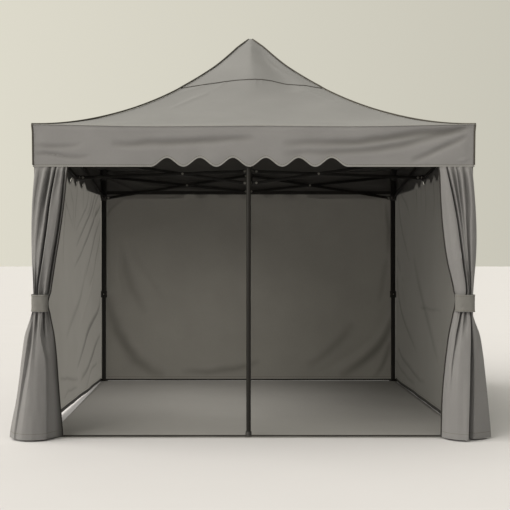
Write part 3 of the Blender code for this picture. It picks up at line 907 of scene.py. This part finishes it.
eave_line = [roof_place(step / 60, ROOF_HALF) for step in range(-60, 61)]
corner_points = [valance_place(1, 0.03 + 0.97 * step / 16, SCALLOP_CUTS[0]) for step in range(17)]
for quarter, (side, cut, climb) in enumerate(zip(SIDES, SCALLOP_CUTS, HEM_CLIMBS)):
    turn = quarter_turns(quarter)
    hem_points = [valance_place(step / 170, 0, cut, climb) for step in range(-170, 171)]
    skirt = flat_cloth(220, 30, 2 * VALANCE_FACE, 1)
    weave = skirt.loops.layers.uv["weave"]
    for vert in skirt.verts:
        across, up = 2 * vert.co.x - 1, vert.co.y
        vert.co = valance_place(across, up, cut, climb)
        above_hem = vert.co.z - valance_place(across, 0, cut, climb).z
        for loop in vert.link_loops:
            loop[weave].uv.y = above_hem
    # Keeps the crease depths that paint shade into the valance's creases
    map_crease_shade(skirt, VALANCE_FOLDS, 0, VALANCE_CREASE_SHADE_FULL)
    bmesh.ops.rotate(skirt, cent=(0, 0, 0), matrix=turn, verts=skirt.verts)
    valance = canopy_cloth(f"valance_{side}_cloth", skirt, valance_grey, f"valance_{side}")
    tape = sewn_cord([turn @ p for p in hem_points], HEM_TAPE, tall=HEM_TALL)
    # The eave seam cord is drawn in the light binding colour: a painted highlight along the eave
    seam = sewn_cord([turn @ p for p in eave_line], EAVE_CORD)
    cord = sewn_cord([turn @ p for p in corner_points], HIP_CORD)
    trims = [
        add_piece(f"valance_{side}_hem_tape", tape, light_binding_and_seam_highlight),
        add_piece(f"eave_seam_{side}", seam, light_binding_and_seam_highlight),
        add_piece(f"valance_{side}_corner_piping", cord, hip_binding),
    ]
    fit_pieces("canopy_cloth", *trims)


# Walls
# Three walls of thinner cloth with no coating, so that daylight shows through them, the back
# one of closer cloth. Each is hemmed, bound with dark tape below, and held to the legs and the
# truss with hook tape. The upper edges of the side ones are cut in the valances' arches.
# Painted shade darkens the walls' creases, and the back wall's black hook tape also stands in
# for the line of shade under the back valance.

WALL_FACE = 1.536
WALL_LOW = 0.010
SIDE_WALL_TOP = 1.907
SIDE_WALL_CLIMB = 0.022
SIDE_WALL_FRONT = -1.524
SIDE_WALL_BACK = 1.533
SIDE_WALL_WAVES = 0.010
SIDE_WALL_CREASE_SHADE_FULL = {-1: 0.014, 1: 0.018}
BACK_WALL_TOP = 1.938
BACK_WALL_WAVES = 0.014
BACK_WALL_CREASE_SHADE_FULL = 0.034
HOOK_TAPE = 0.0018
HOOK_TAPE_TOP = 1.972
LEFT_WALL_LIFT = 0.026
FOOT_TAPE = 0.0022
SIDE_FOOT_TALL = 7.0
BACK_FOOT_TALL = 3.6
LEFT_WALL_CREASES = (
    (((1.32, 2.00), (1.18, 1.91), (0.89, 1.73), (0.62, 1.61), (0.36, 1.49), (0.10, 1.36)), 0.014, -0.0075),
    (((1.50, 1.86), (1.43, 1.80), (1.18, 1.70), (0.83, 1.54), (0.51, 1.38), (-0.02, 1.17)), 0.015, -0.0080),
    (((1.50, 1.70), (1.24, 1.55), (1.06, 1.45), (0.83, 1.28), (0.60, 1.08)), 0.015, -0.0065),
    (((1.44, 1.97), (1.33, 1.91), (1.12, 1.78), (0.95, 1.66)), 0.012, -0.0060),
    (((1.50, 1.93), (1.40, 1.86), (1.22, 1.76), (1.02, 1.60)), 0.012, 0.0060),
    (((1.50, 1.57), (1.36, 1.40), (1.18, 1.28), (1.08, 1.13), (0.80, 1.00)), 0.015, -0.0055),
    (((1.50, 0.89), (1.36, 0.74), (0.94, 0.65), (0.67, 0.56), (0.46, 0.43), (0.12, 0.28)), 0.022, -0.0090),
    (((1.49, 0.49), (1.18, 0.42), (0.94, 0.31), (0.67, 0.23), (0.35, 0.15)), 0.020, -0.0080),
    (((1.25, 0.22), (1.18, 0.21), (0.85, 0.19), (0.60, 0.05)), 0.014, -0.0050),
    (((-0.60, 0.29), (-0.50, 0.28), (-0.20, 0.24), (0.25, 0.18)), 0.012, -0.0045),
    (((-0.50, 1.83), (-0.45, 1.79), (-0.32, 1.70), (-0.05, 1.52)), 0.012, -0.0045),
    (((-0.16, 1.86), (-0.14, 1.82), (-0.02, 1.71), (-0.06, 1.50)), 0.014, -0.0040),
    (((0.18, 1.90), (0.16, 1.84), (0.08, 1.68), (0.02, 1.50)), 0.014, -0.0045),
    (((0.80, 1.93), (0.74, 1.87), (0.64, 1.75), (0.41, 1.65), (0.10, 1.50)), 0.012, -0.0050),
    (((-0.34, 1.72), (-0.36, 1.68), (-0.45, 1.49), (-0.46, 1.20)), 0.016, -0.0040),
    (((0.48, 1.93), (0.46, 1.84), (0.43, 1.70)), 0.012, -0.0045),
    (((0.96, 1.92), (0.93, 1.84), (0.80, 1.74), (0.62, 1.66)), 0.012, -0.0045),
    (((-0.45, 0.12), (-0.24, 0.14), (0.01, 0.14), (0.20, 0.11)), 0.012, -0.0040),
    (((1.20, 1.20), (0.95, 0.98), (0.60, 0.78), (0.30, 0.66)), 0.030, 0.0060),
    (((0.70, 1.20), (0.35, 0.95), (-0.05, 0.74), (-0.35, 0.60)), 0.030, -0.0035),
)
RIGHT_WALL_CREASES = (
    (((1.38, 1.96), (1.37, 1.92), (1.35, 1.79), (1.21, 1.59), (0.96, 1.36), (0.80, 1.22)), 0.016, -0.0060),
    (((1.28, 1.95), (1.21, 1.91), (0.91, 1.78), (0.75, 1.64)), 0.014, -0.0050),
    (((1.50, 1.31), (1.48, 1.29), (1.26, 1.13), (1.06, 1.02)), 0.018, -0.0055),
    (((1.48, 1.08), (1.45, 1.03), (1.37, 0.89), (1.16, 0.73), (0.86, 0.56), (0.45, 0.38)), 0.018, -0.0070),
    (((1.40, 0.36), (1.32, 0.33), (0.86, 0.23), (0.44, 0.17), (0.10, 0.17)), 0.016, -0.0060),
    (((1.50, 0.22), (1.45, 0.20), (1.01, 0.12), (0.55, 0.09)), 0.014, -0.0050),
    (((0.06, 1.90), (0.06, 1.85), (0.04, 1.78), (0.07, 1.60)), 0.014, -0.0045),
    (((0.47, 1.92), (0.46, 1.87), (0.43, 1.70)), 0.014, -0.0045),
    (((0.26, 1.91), (0.25, 1.86), (0.24, 1.72)), 0.012, -0.0045),
    (((-0.23, 1.92), (-0.24, 1.89), (-0.27, 1.77), (-0.24, 1.60)), 0.014, -0.0045),
    (((0.30, 0.82), (0.23, 0.82), (-0.09, 0.83), (-0.55, 0.83)), 0.014, -0.0040),
    (((1.42, 1.62), (1.36, 1.35), (1.20, 1.05), (1.00, 0.85)), 0.030, 0.0070),
    (((0.60, 1.30), (0.30, 0.98), (-0.10, 0.66), (-0.45, 0.40)), 0.040, -0.0050),
)
BACK_WALL_CREASES = (
    (((-1.25, 1.50), (-1.248, 1.407), (-1.148, 1.188), (-1.029, 0.988), (-0.88, 0.80)), 0.050, 0.012),
    (((-1.32, 1.36), (-1.278, 1.188), (-1.218, 0.988), (-1.138, 0.829), (-1.06, 0.70)), 0.050, -0.007),
    (((-1.36, 1.48), (-1.348, 1.387), (-1.358, 1.188), (-1.338, 0.988), (-1.30, 0.85)), 0.030, 0.009),
    (((-1.45, 0.92), (-1.427, 0.709), (-1.328, 0.470), (-1.208, 0.270), (-1.049, 0.131), (-0.85, 0.06)),
     0.060, -0.015),
    (((-0.70, 0.10), (-0.431, 0.105), (-0.20, 0.125), (0.00, 0.17), (0.12, 0.22)), 0.034, -0.010),
    (((1.50, 0.68), (1.473, 0.589), (1.384, 0.390), (1.244, 0.250), (1.085, 0.131), (0.95, 0.04)),
     0.042, -0.017),
    (((1.47, 0.85), (1.40, 0.62), (1.28, 0.43), (1.10, 0.29), (0.90, 0.17), (0.72, 0.08)), 0.045, 0.014),
    (((1.48, 0.42), (1.443, 0.290), (1.384, 0.151), (1.30, 0.02)), 0.026, -0.012),
    (((1.10, 0.62), (0.95, 0.42), (0.78, 0.26), (0.60, 0.15)), 0.045, -0.009),
    (((1.35, 1.96), (1.384, 1.905), (1.403, 1.786), (1.41, 1.66)), 0.012, 0.006),
    (((1.42, 1.86), (1.443, 1.686), (1.447, 1.500), (1.45, 1.32)), 0.020, -0.010),
    (((1.44, 1.28), (1.40, 1.10), (1.38, 0.95), (1.36, 0.82)), 0.026, -0.007),
    (((-1.47, 1.82), (-1.427, 1.865), (-1.36, 1.90), (-1.25, 1.94)), 0.012, 0.006),
    (((-1.49, 1.69), (-1.447, 1.766), (-1.38, 1.83), (-1.30, 1.88)), 0.013, -0.008),
)


def side_wall_place(side, along, up):
    """A point of the left (-1) or right (1) wall, from its front to its back and its hem up.

    Its upper edge is cut in the same arches as the valance outside it, and a little higher.
    """
    reach = SIDE_WALL_FRONT + (SIDE_WALL_BACK - SIDE_WALL_FRONT) * along
    lift = LEFT_WALL_LIFT * (1 - along) if side < 0 else 0.0
    low = WALL_LOW + lift
    arches = scallop_rise(side * reach, SCALLOP_CUTS[1 if side > 0 else 3])
    high = SIDE_WALL_TOP + SIDE_WALL_CLIMB * max(reach, 0) + arches
    height = low + (high - low) * up
    free = smooth_share(0, 0.03, along) * smooth_share(0, 0.02, 1 - along)
    waves = noise.noise(Vector((reach * 2.2, height * 1.1, 5.0 + side))) * SIDE_WALL_WAVES
    inward = free * (waves - fold_rise(SIDE_WALL_FOLDS[side], reach, height))
    return Vector((side * (WALL_FACE - inward), reach, height))


def back_wall_place(across, up):
    """A point of the back wall, from -1 to 1 across and from its hem up."""
    height = WALL_LOW + (BACK_WALL_TOP - WALL_LOW) * up
    free = smooth_share(0, 0.03, 1 - abs(across)) * smooth_share(0, 0.05, 1 - up)
    waves = noise.noise(Vector((across * 2.5, height * 1.6, 11.0))) * BACK_WALL_WAVES
    out = free * (waves + fold_rise(BACK_WALL_FOLDS, across * WALL_FACE, height))
    return Vector((across * WALL_FACE, WALL_FACE + out, height))


def hang_wall(name, shape, cloth, line, foot_tall, tapes):
    """Makes a wall from its shape and its cloth, and binds its lower edge."""
    wall = add_piece(f"{name}_cloth", shape, cloth, smooth_below=75)
    foot = sewn_cord(line, FOOT_TAPE, tall=foot_tall)
    trims = [add_piece(f"{name}_foot_tape", foot, black_binding_and_shade_line), *tapes]
    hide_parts(name)
    fit_pieces("wall_cloth", wall, *trims)
    return wall, trims


# Black binding tape for hems and edges. As the back wall's hook tape it is also painted shade, the line of
# shade under the back valance
black_binding_and_shade_line = woven_polyester("polyester_binding_black", "#2b2927", "#252321")
SIDE_WALL_FOLDS = {-1: soft_folds(LEFT_WALL_CREASES), 1: soft_folds(RIGHT_WALL_CREASES)}
BACK_WALL_FOLDS = soft_folds(BACK_WALL_CREASES)
# The side walls' creases are darkened with painted shade
wall_grey = woven_polyester(
    "woven_polyester_wall",
    "#868583",
    "#82817f",
    stitch_rows=(0.03,),
    shows_through=0.36,
    crease_shade="#3e3d3d",
)
for name, side in (("wall_left", -1), ("wall_right", 1)):
    shape = flat_cloth(260, 170, WALL_FACE - SIDE_WALL_FRONT, SIDE_WALL_TOP)
    for vert in shape.verts:
        vert.co = side_wall_place(side, vert.co.x, vert.co.y)
    # Keeps the crease depths that paint shade into the side walls' creases
    map_crease_shade(shape, SIDE_WALL_FOLDS[side], 1, SIDE_WALL_CREASE_SHADE_FULL[side])
    if side < 0:
        bmesh.ops.reverse_faces(shape, faces=shape.faces)
    hem = [side_wall_place(side, step / 60, 0) for step in range(61)]
    wall, trims = hang_wall(name, shape, wall_grey, hem, SIDE_FOOT_TALL, [])

# The back wall's creases are darkened with painted shade
close_grey = woven_polyester(
    "close_woven_polyester",
    "#979591",
    "#918f8b",
    stitch_rows=(0.03,),
    shows_through=0.09,
    crease_shade="#42403b",
)
shape = flat_cloth(220, 130, 2 * WALL_FACE, BACK_WALL_TOP)
for vert in shape.verts:
    vert.co = back_wall_place(2 * vert.co.x - 1, vert.co.y)
# Keeps the crease depths that paint shade into the back wall's creases
map_crease_shade(shape, BACK_WALL_FOLDS, 0, BACK_WALL_CREASE_SHADE_FULL)
bmesh.ops.reverse_faces(shape, faces=shape.faces)
hem = [back_wall_place(step / 40, 0) for step in range(-40, 41)]
# A black hook tape along the back wall's top, which is also painted shade: the line of shade under the back
# valance
tape_middle = (BACK_WALL_TOP + HOOK_TAPE_TOP) / 2
tape_line = [Vector((x * WALL_FACE, WALL_FACE - 0.002, tape_middle)) for x in (-1, -0.5, 0, 0.5, 1)]
hook_tape_and_shade_line = sewn_cord(tape_line, HOOK_TAPE, tall=(HOOK_TAPE_TOP - BACK_WALL_TOP) / (2 * HOOK_TAPE))
wall, trims = hang_wall(
    "wall_back",
    shape,
    close_grey,
    hem,
    BACK_FOOT_TALL,
    [add_piece("wall_back_hook_tape", hook_tape_and_shade_line, black_binding_and_shade_line)],
)


# Groundsheet
# A coated woven sheet laid flat between the legs, a little off centre and skewed at its left
# edge, with its corners cut out round the feet. A dark tape is sewn along its front, just
# inside the edge.

GROUND_HALF = 1.490
GROUND_LEFT = 1.478
GROUND_LEFT_SKEW = 0.026
GROUND_RIGHT = 1.517
GROUND_FRONT = 1.545
GROUND_NOTCH = 1.455
GROUND_THICK = 0.0035
GROUND_WAVES = 0.0016
FRONT_TAPE = 0.0070
FRONT_TAPE_AT = 1.515
FRONT_TAPE_HIGH = 0.008


def coated_ground_cloth():
    # Woven tape cloth coated on both sides: warm grey, half matt, a little scuffed where
    # people walk. The weave is drawn 6 mm coarse so that it shows.
    material, tree = empty_material("coated_woven_groundsheet")
    weave = add_node(tree, "UVMap", uv_map="weave").outputs[0]
    tapes = add_node(tree, "TexChecker", {"Vector": weave, "Scale": 1 / 0.006})
    cloud = add_node(tree, "TexNoise", {"Vector": weave, "Scale": 1.6, "Detail": 5.0})
    scuff = add_node(tree, "TexNoise", {"Vector": weave, "Scale": 22.0, "Detail": 4.0})
    mottle = add_node(tree, "Mix", {0: 0.35, 2: cloud.outputs[0], 3: scuff.outputs[0]})
    spread = add_node(tree, "MapRange", {0: mottle.outputs[0], 1: 0.35, 2: 0.65})
    tone = add_node(
        tree,
        "Mix",
        {0: spread.outputs[0], 6: linear("#929190"), 7: linear("#979695")},
        data_type="RGBA",
    )
    rough = add_node(tree, "MapRange", {0: scuff.outputs[0], 3: 0.5, 4: 0.7})
    bump = add_node(tree, "Bump", {"Strength": 0.15, "Distance": 0.0004, "Height": tapes.outputs[1]})
    shader = add_node(
        tree,
        "BsdfPrincipled",
        {"Base Color": tone.outputs[2], "Roughness": rough.outputs[0], "Normal": bump.outputs[0]},
    )
    shader.inputs["Specular IOR Level"].default_value = 0.35
    add_node(tree, "OutputMaterial", {"Surface": shader.outputs[0]})
    return material


def ground_line(share, low, high, notch):
    """A place along one side of the sheet, with a grid line kept on each notch's edge."""
    place = low + (high - low) * share
    for edge in (-notch, notch):
        if abs(place - edge) < (high - low) / 200:
            return edge
    return place


laid = flat_cloth(101, 101, 2 * GROUND_HALF, GROUND_HALF + GROUND_FRONT)
for vert in laid.verts:
    place = Vector((
        ground_line(vert.co.x, -GROUND_HALF, GROUND_RIGHT, GROUND_NOTCH),
        ground_line(vert.co.y, -GROUND_FRONT, GROUND_HALF, GROUND_NOTCH),
        GROUND_THICK,
    ))
    if place.x < -GROUND_NOTCH - 0.001:
        place.x = -max(GROUND_LEFT + GROUND_LEFT_SKEW * place.y, GROUND_NOTCH + 0.002)
    place.z += GROUND_WAVES * (1 + noise.noise(Vector((place.x * 2.0, place.y * 2.0, 1.0))))
    vert.co = place
corners = []
for face in laid.faces:
    middle = face.calc_center_median()
    if min(abs(middle.x), abs(middle.y)) > GROUND_NOTCH:
        corners.append(face)
bmesh.ops.delete(laid, geom=corners, context="FACES")
groundsheet = add_piece("groundsheet_cloth", laid, coated_ground_cloth())
thick_cloth(groundsheet, GROUND_THICK)
tape_line = [
    Vector((x * GROUND_NOTCH, -FRONT_TAPE_AT, FRONT_TAPE_HIGH)) for x in (-1, -0.5, 0, 0.5, 1)
]
front_tape = add_piece(
    "groundsheet_front_tape", sewn_cord(tape_line, FRONT_TAPE, tall=1.3), black_binding_and_shade_line
)
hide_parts("groundsheet")
fit_pieces("ground_cloth", groundsheet, front_tape)


# Door curtains
# Two cloths, each cut as wide as half the doorway, hang from the front truss. They are drawn
# to the legs in deep soft pleats, set by hand, with painted shade in their valleys, and the rest
# of their width is folded up behind. A dark binding edges the side that leads across the doorway.

CURTAIN_BACK = 1.534
CURTAIN_TOP = 1.984
CURTAIN_LOW = 0.012
CURTAIN_FLAT = 1.50
BACK_LAYERS = 4
BACK_LAYER_APART = 0.0014
PLEAT_COLUMNS = 9
CURTAIN_ROWS = 118
PLEAT_SQUARE = 0.85
PLEAT_ROUND = 0.7
PLEAT_ROUND_FROM = (0.55, 0.86)
PLEAT_WANDER = 0.0025
VALLEY_SHADE = 0.85
VALLEY_SHADE_DEPTH = 0.42
BUNDLE_ROUND = 0.28
BUNDLE_ROUND_FOOT = 0.35
BUNDLE_FOOT = (0.05, 0.87)
GATHER_HEIGHT = 0.945
GATHER_REACH = 0.10
GATHER_DEPTH = 0.0035
CURTAIN_WAVES = 0.002
CURTAIN_HEAD = 1.89
CURTAIN_LEVELS = (1.90, 1.65, 1.45, 1.25, 1.02, 0.945, 0.87, 0.72, 0.55, 0.30, 0.012)
BUNDLE_DEPTHS = (
    (1.984, 0.004), (1.893, 0.005), (1.868, 0.030), (1.80, 0.048), (1.65, 0.060), (1.45, 0.068),
    (1.25, 0.074), (1.02, 0.072), (0.945, 0.064), (0.87, 0.076), (0.72, 0.104), (0.55, 0.126),
    (0.30, 0.146), (0.012, 0.160),
)

# Each pleat line gives its places across at the levels above, then how far forward it lies
LEFT_PLEATS = (
    ((-1.510, -1.522, -1.528, -1.526, -1.518, -1.515, -1.528, -1.565, -1.585, -1.612, -1.655), (0.0,)),
    ((-1.528, -1.543, -1.548, -1.545, -1.535, -1.536, -1.547, -1.592, -1.616, -1.648, -1.699), (0.45,)),
    ((-1.516, -1.533, -1.538, -1.536, -1.528, -1.529, -1.540, -1.576, -1.598, -1.626, -1.668), (0.85,)),
    ((-1.474, -1.512, -1.524, -1.526, -1.523, -1.523, -1.534, -1.556, -1.578, -1.612, -1.650),
     (0.45, 0.70, 0.85, 0.88, 0.5, 0.6, 0.7, 1.0, 1.0, 1.0, 1.0)),
    ((-1.450, -1.487, -1.508, -1.515, -1.517, -1.517, -1.527, -1.535, -1.555, -1.598, -1.636),
     (0.95, 0.95, 0.95, 0.95, 0.95, 0.95, 0.72, 0.70, 0.76, 0.84, 0.90)),
    ((-1.422, -1.460, -1.485, -1.503, -1.511, -1.509, -1.515, -1.518, -1.530, -1.560, -1.590),
     (0.05, 0.20, 0.65, 0.90, 0.5, 0.5, 0.97, 1.0, 1.0, 1.0, 1.0)),
    ((-1.394, -1.430, -1.454, -1.480, -1.507, -1.500, -1.500, -1.500, -1.505, -1.510, -1.515),
     (0.95, 0.95, 0.95, 0.95, 0.95, 0.95, 0.55, 0.86, 0.93, 0.94, 0.94)),
    ((-1.381, -1.417, -1.441, -1.468, -1.498, -1.491, -1.485, -1.485, -1.475, -1.465, -1.460),
     (0.0, 0.0, 0.0, 0.05, 0.2, 0.4, 0.95, 0.95, 0.93, 0.90, 0.90)),
    ((-1.369, -1.405, -1.429, -1.457, -1.489, -1.481, -1.464, -1.467, -1.432, -1.4255, -1.4235),
     (1.0, 1.0, 1.0, 1.0, 1.0, 1.0, 0.95, 0.96, 0.92, 0.88, 0.88)),
    ((-1.349, -1.380, -1.408, -1.440, -1.470, -1.468, -1.456, -1.456, -1.424, -1.415, -1.411),
     (0.50, 0.93, 0.97, 0.93, 0.6, 0.5, 0.20, 0.42, 0.60, 0.64, 0.68)),
    ((-1.332, -1.352, -1.378, -1.410, -1.444, -1.456, -1.446, -1.436, -1.408, -1.395, -1.385),
     (0.95, 0.95, 0.95, 0.95, 0.95, 0.9, 0.85, 0.54, 0.43, 0.41, 0.40)),
    ((-1.322, -1.342, -1.367, -1.400, -1.432, -1.446, -1.434, -1.412, -1.392, -1.374, -1.358),
     (0.0, 0.0, 0.0, 0.0, 0.1, 0.4, 0.25, 0.28, 0.20, 0.18, 0.17)),
    ((-1.305, -1.324, -1.349, -1.381, -1.414, -1.435, -1.421, -1.395, -1.378, -1.360, -1.337),
     (0.5, 0.5, 0.5, 0.5, 0.5, 0.5, 0.45, 0.18, 0.07, 0.04, 0.03)),
    ((-1.318, -1.340, -1.366, -1.398, -1.432, -1.450, -1.438, -1.415, -1.400, -1.385, -1.365), (0.0,)),
)
RIGHT_PLEATS = (
    ((1.312, 1.318, 1.333, 1.360, 1.412, 1.420, 1.398, 1.372, 1.350, 1.326, 1.320), (0.0,)),
    ((1.298, 1.304, 1.319, 1.346, 1.395, 1.404, 1.388, 1.358, 1.335, 1.312, 1.306), (0.5,)),
    ((1.304, 1.310, 1.325, 1.352, 1.402, 1.413, 1.400, 1.372, 1.350, 1.328, 1.322),
     (0.66, 0.66, 0.66, 0.68, 0.75, 0.90, 0.90, 0.90, 0.90, 0.90, 0.90)),
    ((1.340, 1.382, 1.413, 1.438, 1.467, 1.440, 1.424, 1.392, 1.366, 1.345, 1.342),
     (1.0, 1.0, 1.0, 1.0, 0.95, 0.95, 0.90, 0.90, 0.92, 0.95, 0.95)),
    ((1.350, 1.393, 1.424, 1.449, 1.476, 1.454, 1.434, 1.402, 1.372, 1.360, 1.360),
     (0.0, 0.0, 0.0, 0.0, 0.1, 0.4, 0.30, 0.62, 0.80, 0.95, 0.97)),
    ((1.361, 1.404, 1.435, 1.460, 1.484, 1.464, 1.446, 1.424, 1.404, 1.392, 1.390), (1.0,)),
    ((1.395, 1.424, 1.445, 1.464, 1.487, 1.474, 1.462, 1.452, 1.440, 1.430, 1.430),
     (0.20, 0.40, 0.80, 0.90, 0.5, 0.5, 0.60, 0.97, 0.98, 0.98, 0.98)),
    ((1.406, 1.430, 1.455, 1.470, 1.491, 1.483, 1.482, 1.480, 1.470, 1.458, 1.449),
     (0.95, 0.95, 0.95, 0.95, 0.95, 0.95, 0.95, 1.0, 1.0, 1.0, 1.0)),
    ((1.419, 1.438, 1.464, 1.478, 1.495, 1.488, 1.494, 1.493, 1.482, 1.471, 1.461),
     (0.25, 0.55, 0.90, 0.90, 0.5, 0.6, 0.95, 0.98, 1.0, 1.0, 1.0)),
    ((1.445, 1.462, 1.472, 1.482, 1.498, 1.494, 1.502, 1.502, 1.491, 1.480, 1.470),
     (0.95, 0.95, 0.95, 0.95, 0.9, 0.5, 0.15, 0.05, 0.10, 0.22, 0.32)),
    ((1.470, 1.488, 1.482, 1.490, 1.502, 1.500, 1.508, 1.518, 1.522, 1.518, 1.512),
     (0.20, 0.30, 0.40, 0.42, 0.3, 0.4, 0.85, 0.72, 0.66, 0.66, 0.68)),
    ((1.496, 1.515, 1.512, 1.512, 1.514, 1.510, 1.515, 1.536, 1.552, 1.572, 1.590),
     (0.95, 0.95, 0.95, 0.95, 0.95, 0.95, 0.95, 0.78, 0.60, 0.58, 0.58)),
    ((1.526, 1.544, 1.552, 1.546, 1.530, 1.527, 1.524, 1.572, 1.600, 1.627, 1.651), (0.45,)),
    ((1.515, 1.528, 1.534, 1.530, 1.514, 1.510, 1.508, 1.552, 1.575, 1.600, 1.620), (0.0,)),
)
LEADING_LINES = {"curtain_left": (12, 0.003), "curtain_right": (1, -0.003)}
EDGE_BINDING = 0.0045
EDGE_LENGTH = 1.96
EDGE_TUCK = 0.006
EDGE_TUCKED = (1.85, 1.895)


def smooth_along(levels, values, level):
    """A smooth curve through values given at levels that run downwards."""
    if len(values) == 1:
        return values[0]
    place = 0
    while place < len(levels) - 2 and level < levels[place + 1]:
        place += 1
    share = min(max((levels[place] - level) / (levels[place] - levels[place + 1]), 0.0), 1.0)
    first, last = values[place], values[place + 1]
    before = values[max(place - 1, 0)]
    after = values[min(place + 2, len(values) - 1)]
    leave = (last - before) / 2
    arrive = (after - first) / 2
    bend = 3 * (last - first) - 2 * leave - arrive
    turn = 2 * (first - last) + leave + arrive
    return first + leave * share + bend * share ** 2 + turn * share ** 3


def with_back_layers(pleats):
    """The pleat lines with the rest of the cloth's width folded to and fro behind them."""
    layers = []
    for layer in range(BACK_LAYERS, 0, -1):
        layers.append((pleats[-1 if layer % 2 else 0][0], (-layer,)))
    return [*layers, *pleats]


def pleat_rounding(height):
    """How round the pleats are: plain at the foot, and rounder from below the band up."""
    return PLEAT_ROUND * smooth_share(*PLEAT_ROUND_FROM, height)


def pleat_depth(pleats, across, height):
    """How far forward a place lies: 1 on a crest, 0 in a valley, below 0 on the back layers."""
    line = min(int(across), len(pleats) - 2)
    near, far = (smooth_along(CURTAIN_LEVELS, pleats[count][1], height) for count in (line, line + 1))
    plain = 1 - pleat_rounding(height)
    share = across - line
    crest = share * plain + (1 - plain) * (1 - math.cos(math.pi * share)) / 2
    return near + (far - near) * crest


def curtain_place(pleats, across, height):
    """A point of a curtain, at a count of pleat lines across and a height."""
    line = min(int(across), len(pleats) - 2)
    share = across - line
    spots = []
    for count in (line, line + 1):
        wander = noise.noise(Vector((count * 3.7, height * 3.0, pleats[0][0][0]))) * PLEAT_WANDER
        spots.append(smooth_along(CURTAIN_LEVELS, pleats[count][0], height) + wander)
    square = PLEAT_SQUARE * pleat_rounding(height)
    run = share + square * math.sin(2 * math.pi * share) / (2 * math.pi)
    place = spots[0] + (spots[1] - spots[0]) * run
    depth = pleat_depth(pleats, across, height)
    first = smooth_along(CURTAIN_LEVELS, pleats[BACK_LAYERS + 1][0], height)
    last = smooth_along(CURTAIN_LEVELS, pleats[-2][0], height)
    off_middle = min(abs(2 * (place - first) / (last - first) - 1), 1.0)
    low = 1 - smooth_share(*BUNDLE_FOOT, height)
    rounding = 1 - (BUNDLE_ROUND + BUNDLE_ROUND_FOOT * low) * off_middle ** 2
    bundle = smooth_along(*zip(*BUNDLE_DEPTHS), height)
    gather = math.exp(-abs(height - GATHER_HEIGHT) / GATHER_REACH) * GATHER_DEPTH
    waves = CURTAIN_WAVES * noise.noise(Vector((place * 30, height * 9, 3.0)))
    ripple = gather * math.sin(across * 9.0) + waves
    if depth < 0:
        return Vector((place, -CURTAIN_BACK - BACK_LAYER_APART * depth, height))
    settled = smooth_share(0.0, 0.02, CURTAIN_HEAD - height)
    return Vector((place, -CURTAIN_BACK - bundle * rounding * depth - ripple * settled, height))


# The curtain cloth's pleat valleys are darkened with painted shade
curtain_grey = woven_polyester(
    "woven_polyester_curtain",
    "#828182",
    "#7c7b7c",
    stitch_rows=(0.04,),
    shows_through=0.12,
    crease_shade="#2f2e2c",
)
for name, shown in (("curtain_left", LEFT_PLEATS), ("curtain_right", RIGHT_PLEATS)):
    pleats = with_back_layers(shown)
    spans = len(pleats) - 1
    gathered = flat_cloth(spans * PLEAT_COLUMNS, CURTAIN_ROWS, CURTAIN_FLAT, CURTAIN_TOP - CURTAIN_LOW)
    crease = gathered.loops.layers.uv.new("crease")
    for vert in gathered.verts:
        across = vert.co.x * spans
        height = CURTAIN_LOW + (CURTAIN_TOP - CURTAIN_LOW) * vert.co.y
        # Painted shade: the crease map darkens each place by how far back in a pleat valley it lies
        valley = 1 - smooth_share(0.0, VALLEY_SHADE_DEPTH, pleat_depth(pleats, across, height))
        for loop in vert.link_loops:
            loop[crease].uv = (VALLEY_SHADE * valley, 0)
        vert.co = curtain_place(pleats, across, height)
    curtain = add_piece(f"{name}_cloth", gathered, curtain_grey, smooth_below=75)
    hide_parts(name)
    line, out = LEADING_LINES[name]
    edge = []
    for step in range(131):
        point = curtain_place(pleats, BACK_LAYERS + line, CURTAIN_LOW + EDGE_LENGTH * step / 130)
        edge.append(point + Vector((out, EDGE_TUCK * smooth_share(*EDGE_TUCKED, point.z), 0)))
    tape = add_piece(f"{name}_edge_binding", sewn_cord(edge, EDGE_BINDING), black_binding_and_shade_line)
    fit_pieces("curtain_cloth", curtain, tape)


# Tiebacks
# A strip of the curtain's cloth, sewn double and stitched near both edges, is wrapped round
# each gather and closed behind it.

TIE_LOW = 0.885
TIE_HIGH = 1.004
TIE_FLAT = (0.36, 0.119)
TIE_DEPTH = (-1.531, -1.615)
TIE_SPANS = {"left": (-1.542, -1.430), "right": (1.399, 1.533)}
TIE_THICK = 0.0018
TIE_HEM = 0.0022
TIE_CREASE = 0.0014
TIE_SQUARE = 0.75
TIE_TILT = 0.002

band_grey = woven_polyester("woven_polyester_band", "#747371", "#6e6d6b", stitch_rows=(0.012, 0.107))
for name, (first, last) in TIE_SPANS.items():
    wrapped = flat_cloth(112, 18, *TIE_FLAT)
    for vert in wrapped.verts:
        turn = 2 * math.pi * vert.co.x
        up = vert.co.y
        edge = TIE_HEM * (smooth_share(0.85, 1, up) + 1 - smooth_share(0, 0.15, up))
        crease = TIE_CREASE * noise.noise(Vector((math.cos(turn) * 3, math.sin(turn) * 3, up * 5)))
        wide = (last - first) / 2 + edge + crease
        deep = (TIE_DEPTH[0] - TIE_DEPTH[1]) / 2 + edge + crease
        across, ahead = math.sin(turn), math.cos(turn)
        vert.co = (
            (first + last) / 2 - wide * math.copysign(abs(across) ** TIE_SQUARE, across),
            sum(TIE_DEPTH) / 2 + deep * math.copysign(abs(ahead) ** TIE_SQUARE, ahead),
            TIE_LOW + (TIE_HIGH - TIE_LOW) * up + TIE_TILT * math.sin(turn + 1),
        )
    bmesh.ops.remove_doubles(wrapped, verts=wrapped.verts, dist=0.0002)
    bmesh.ops.recalc_face_normals(wrapped, faces=wrapped.faces)
    band = add_piece(f"tieback_{name}_band", wrapped, band_grey, smooth_below=75)
    thick_cloth(band, TIE_THICK)
    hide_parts(f"tieback_{name}")
    fit_pieces("curtain_cloth", band)
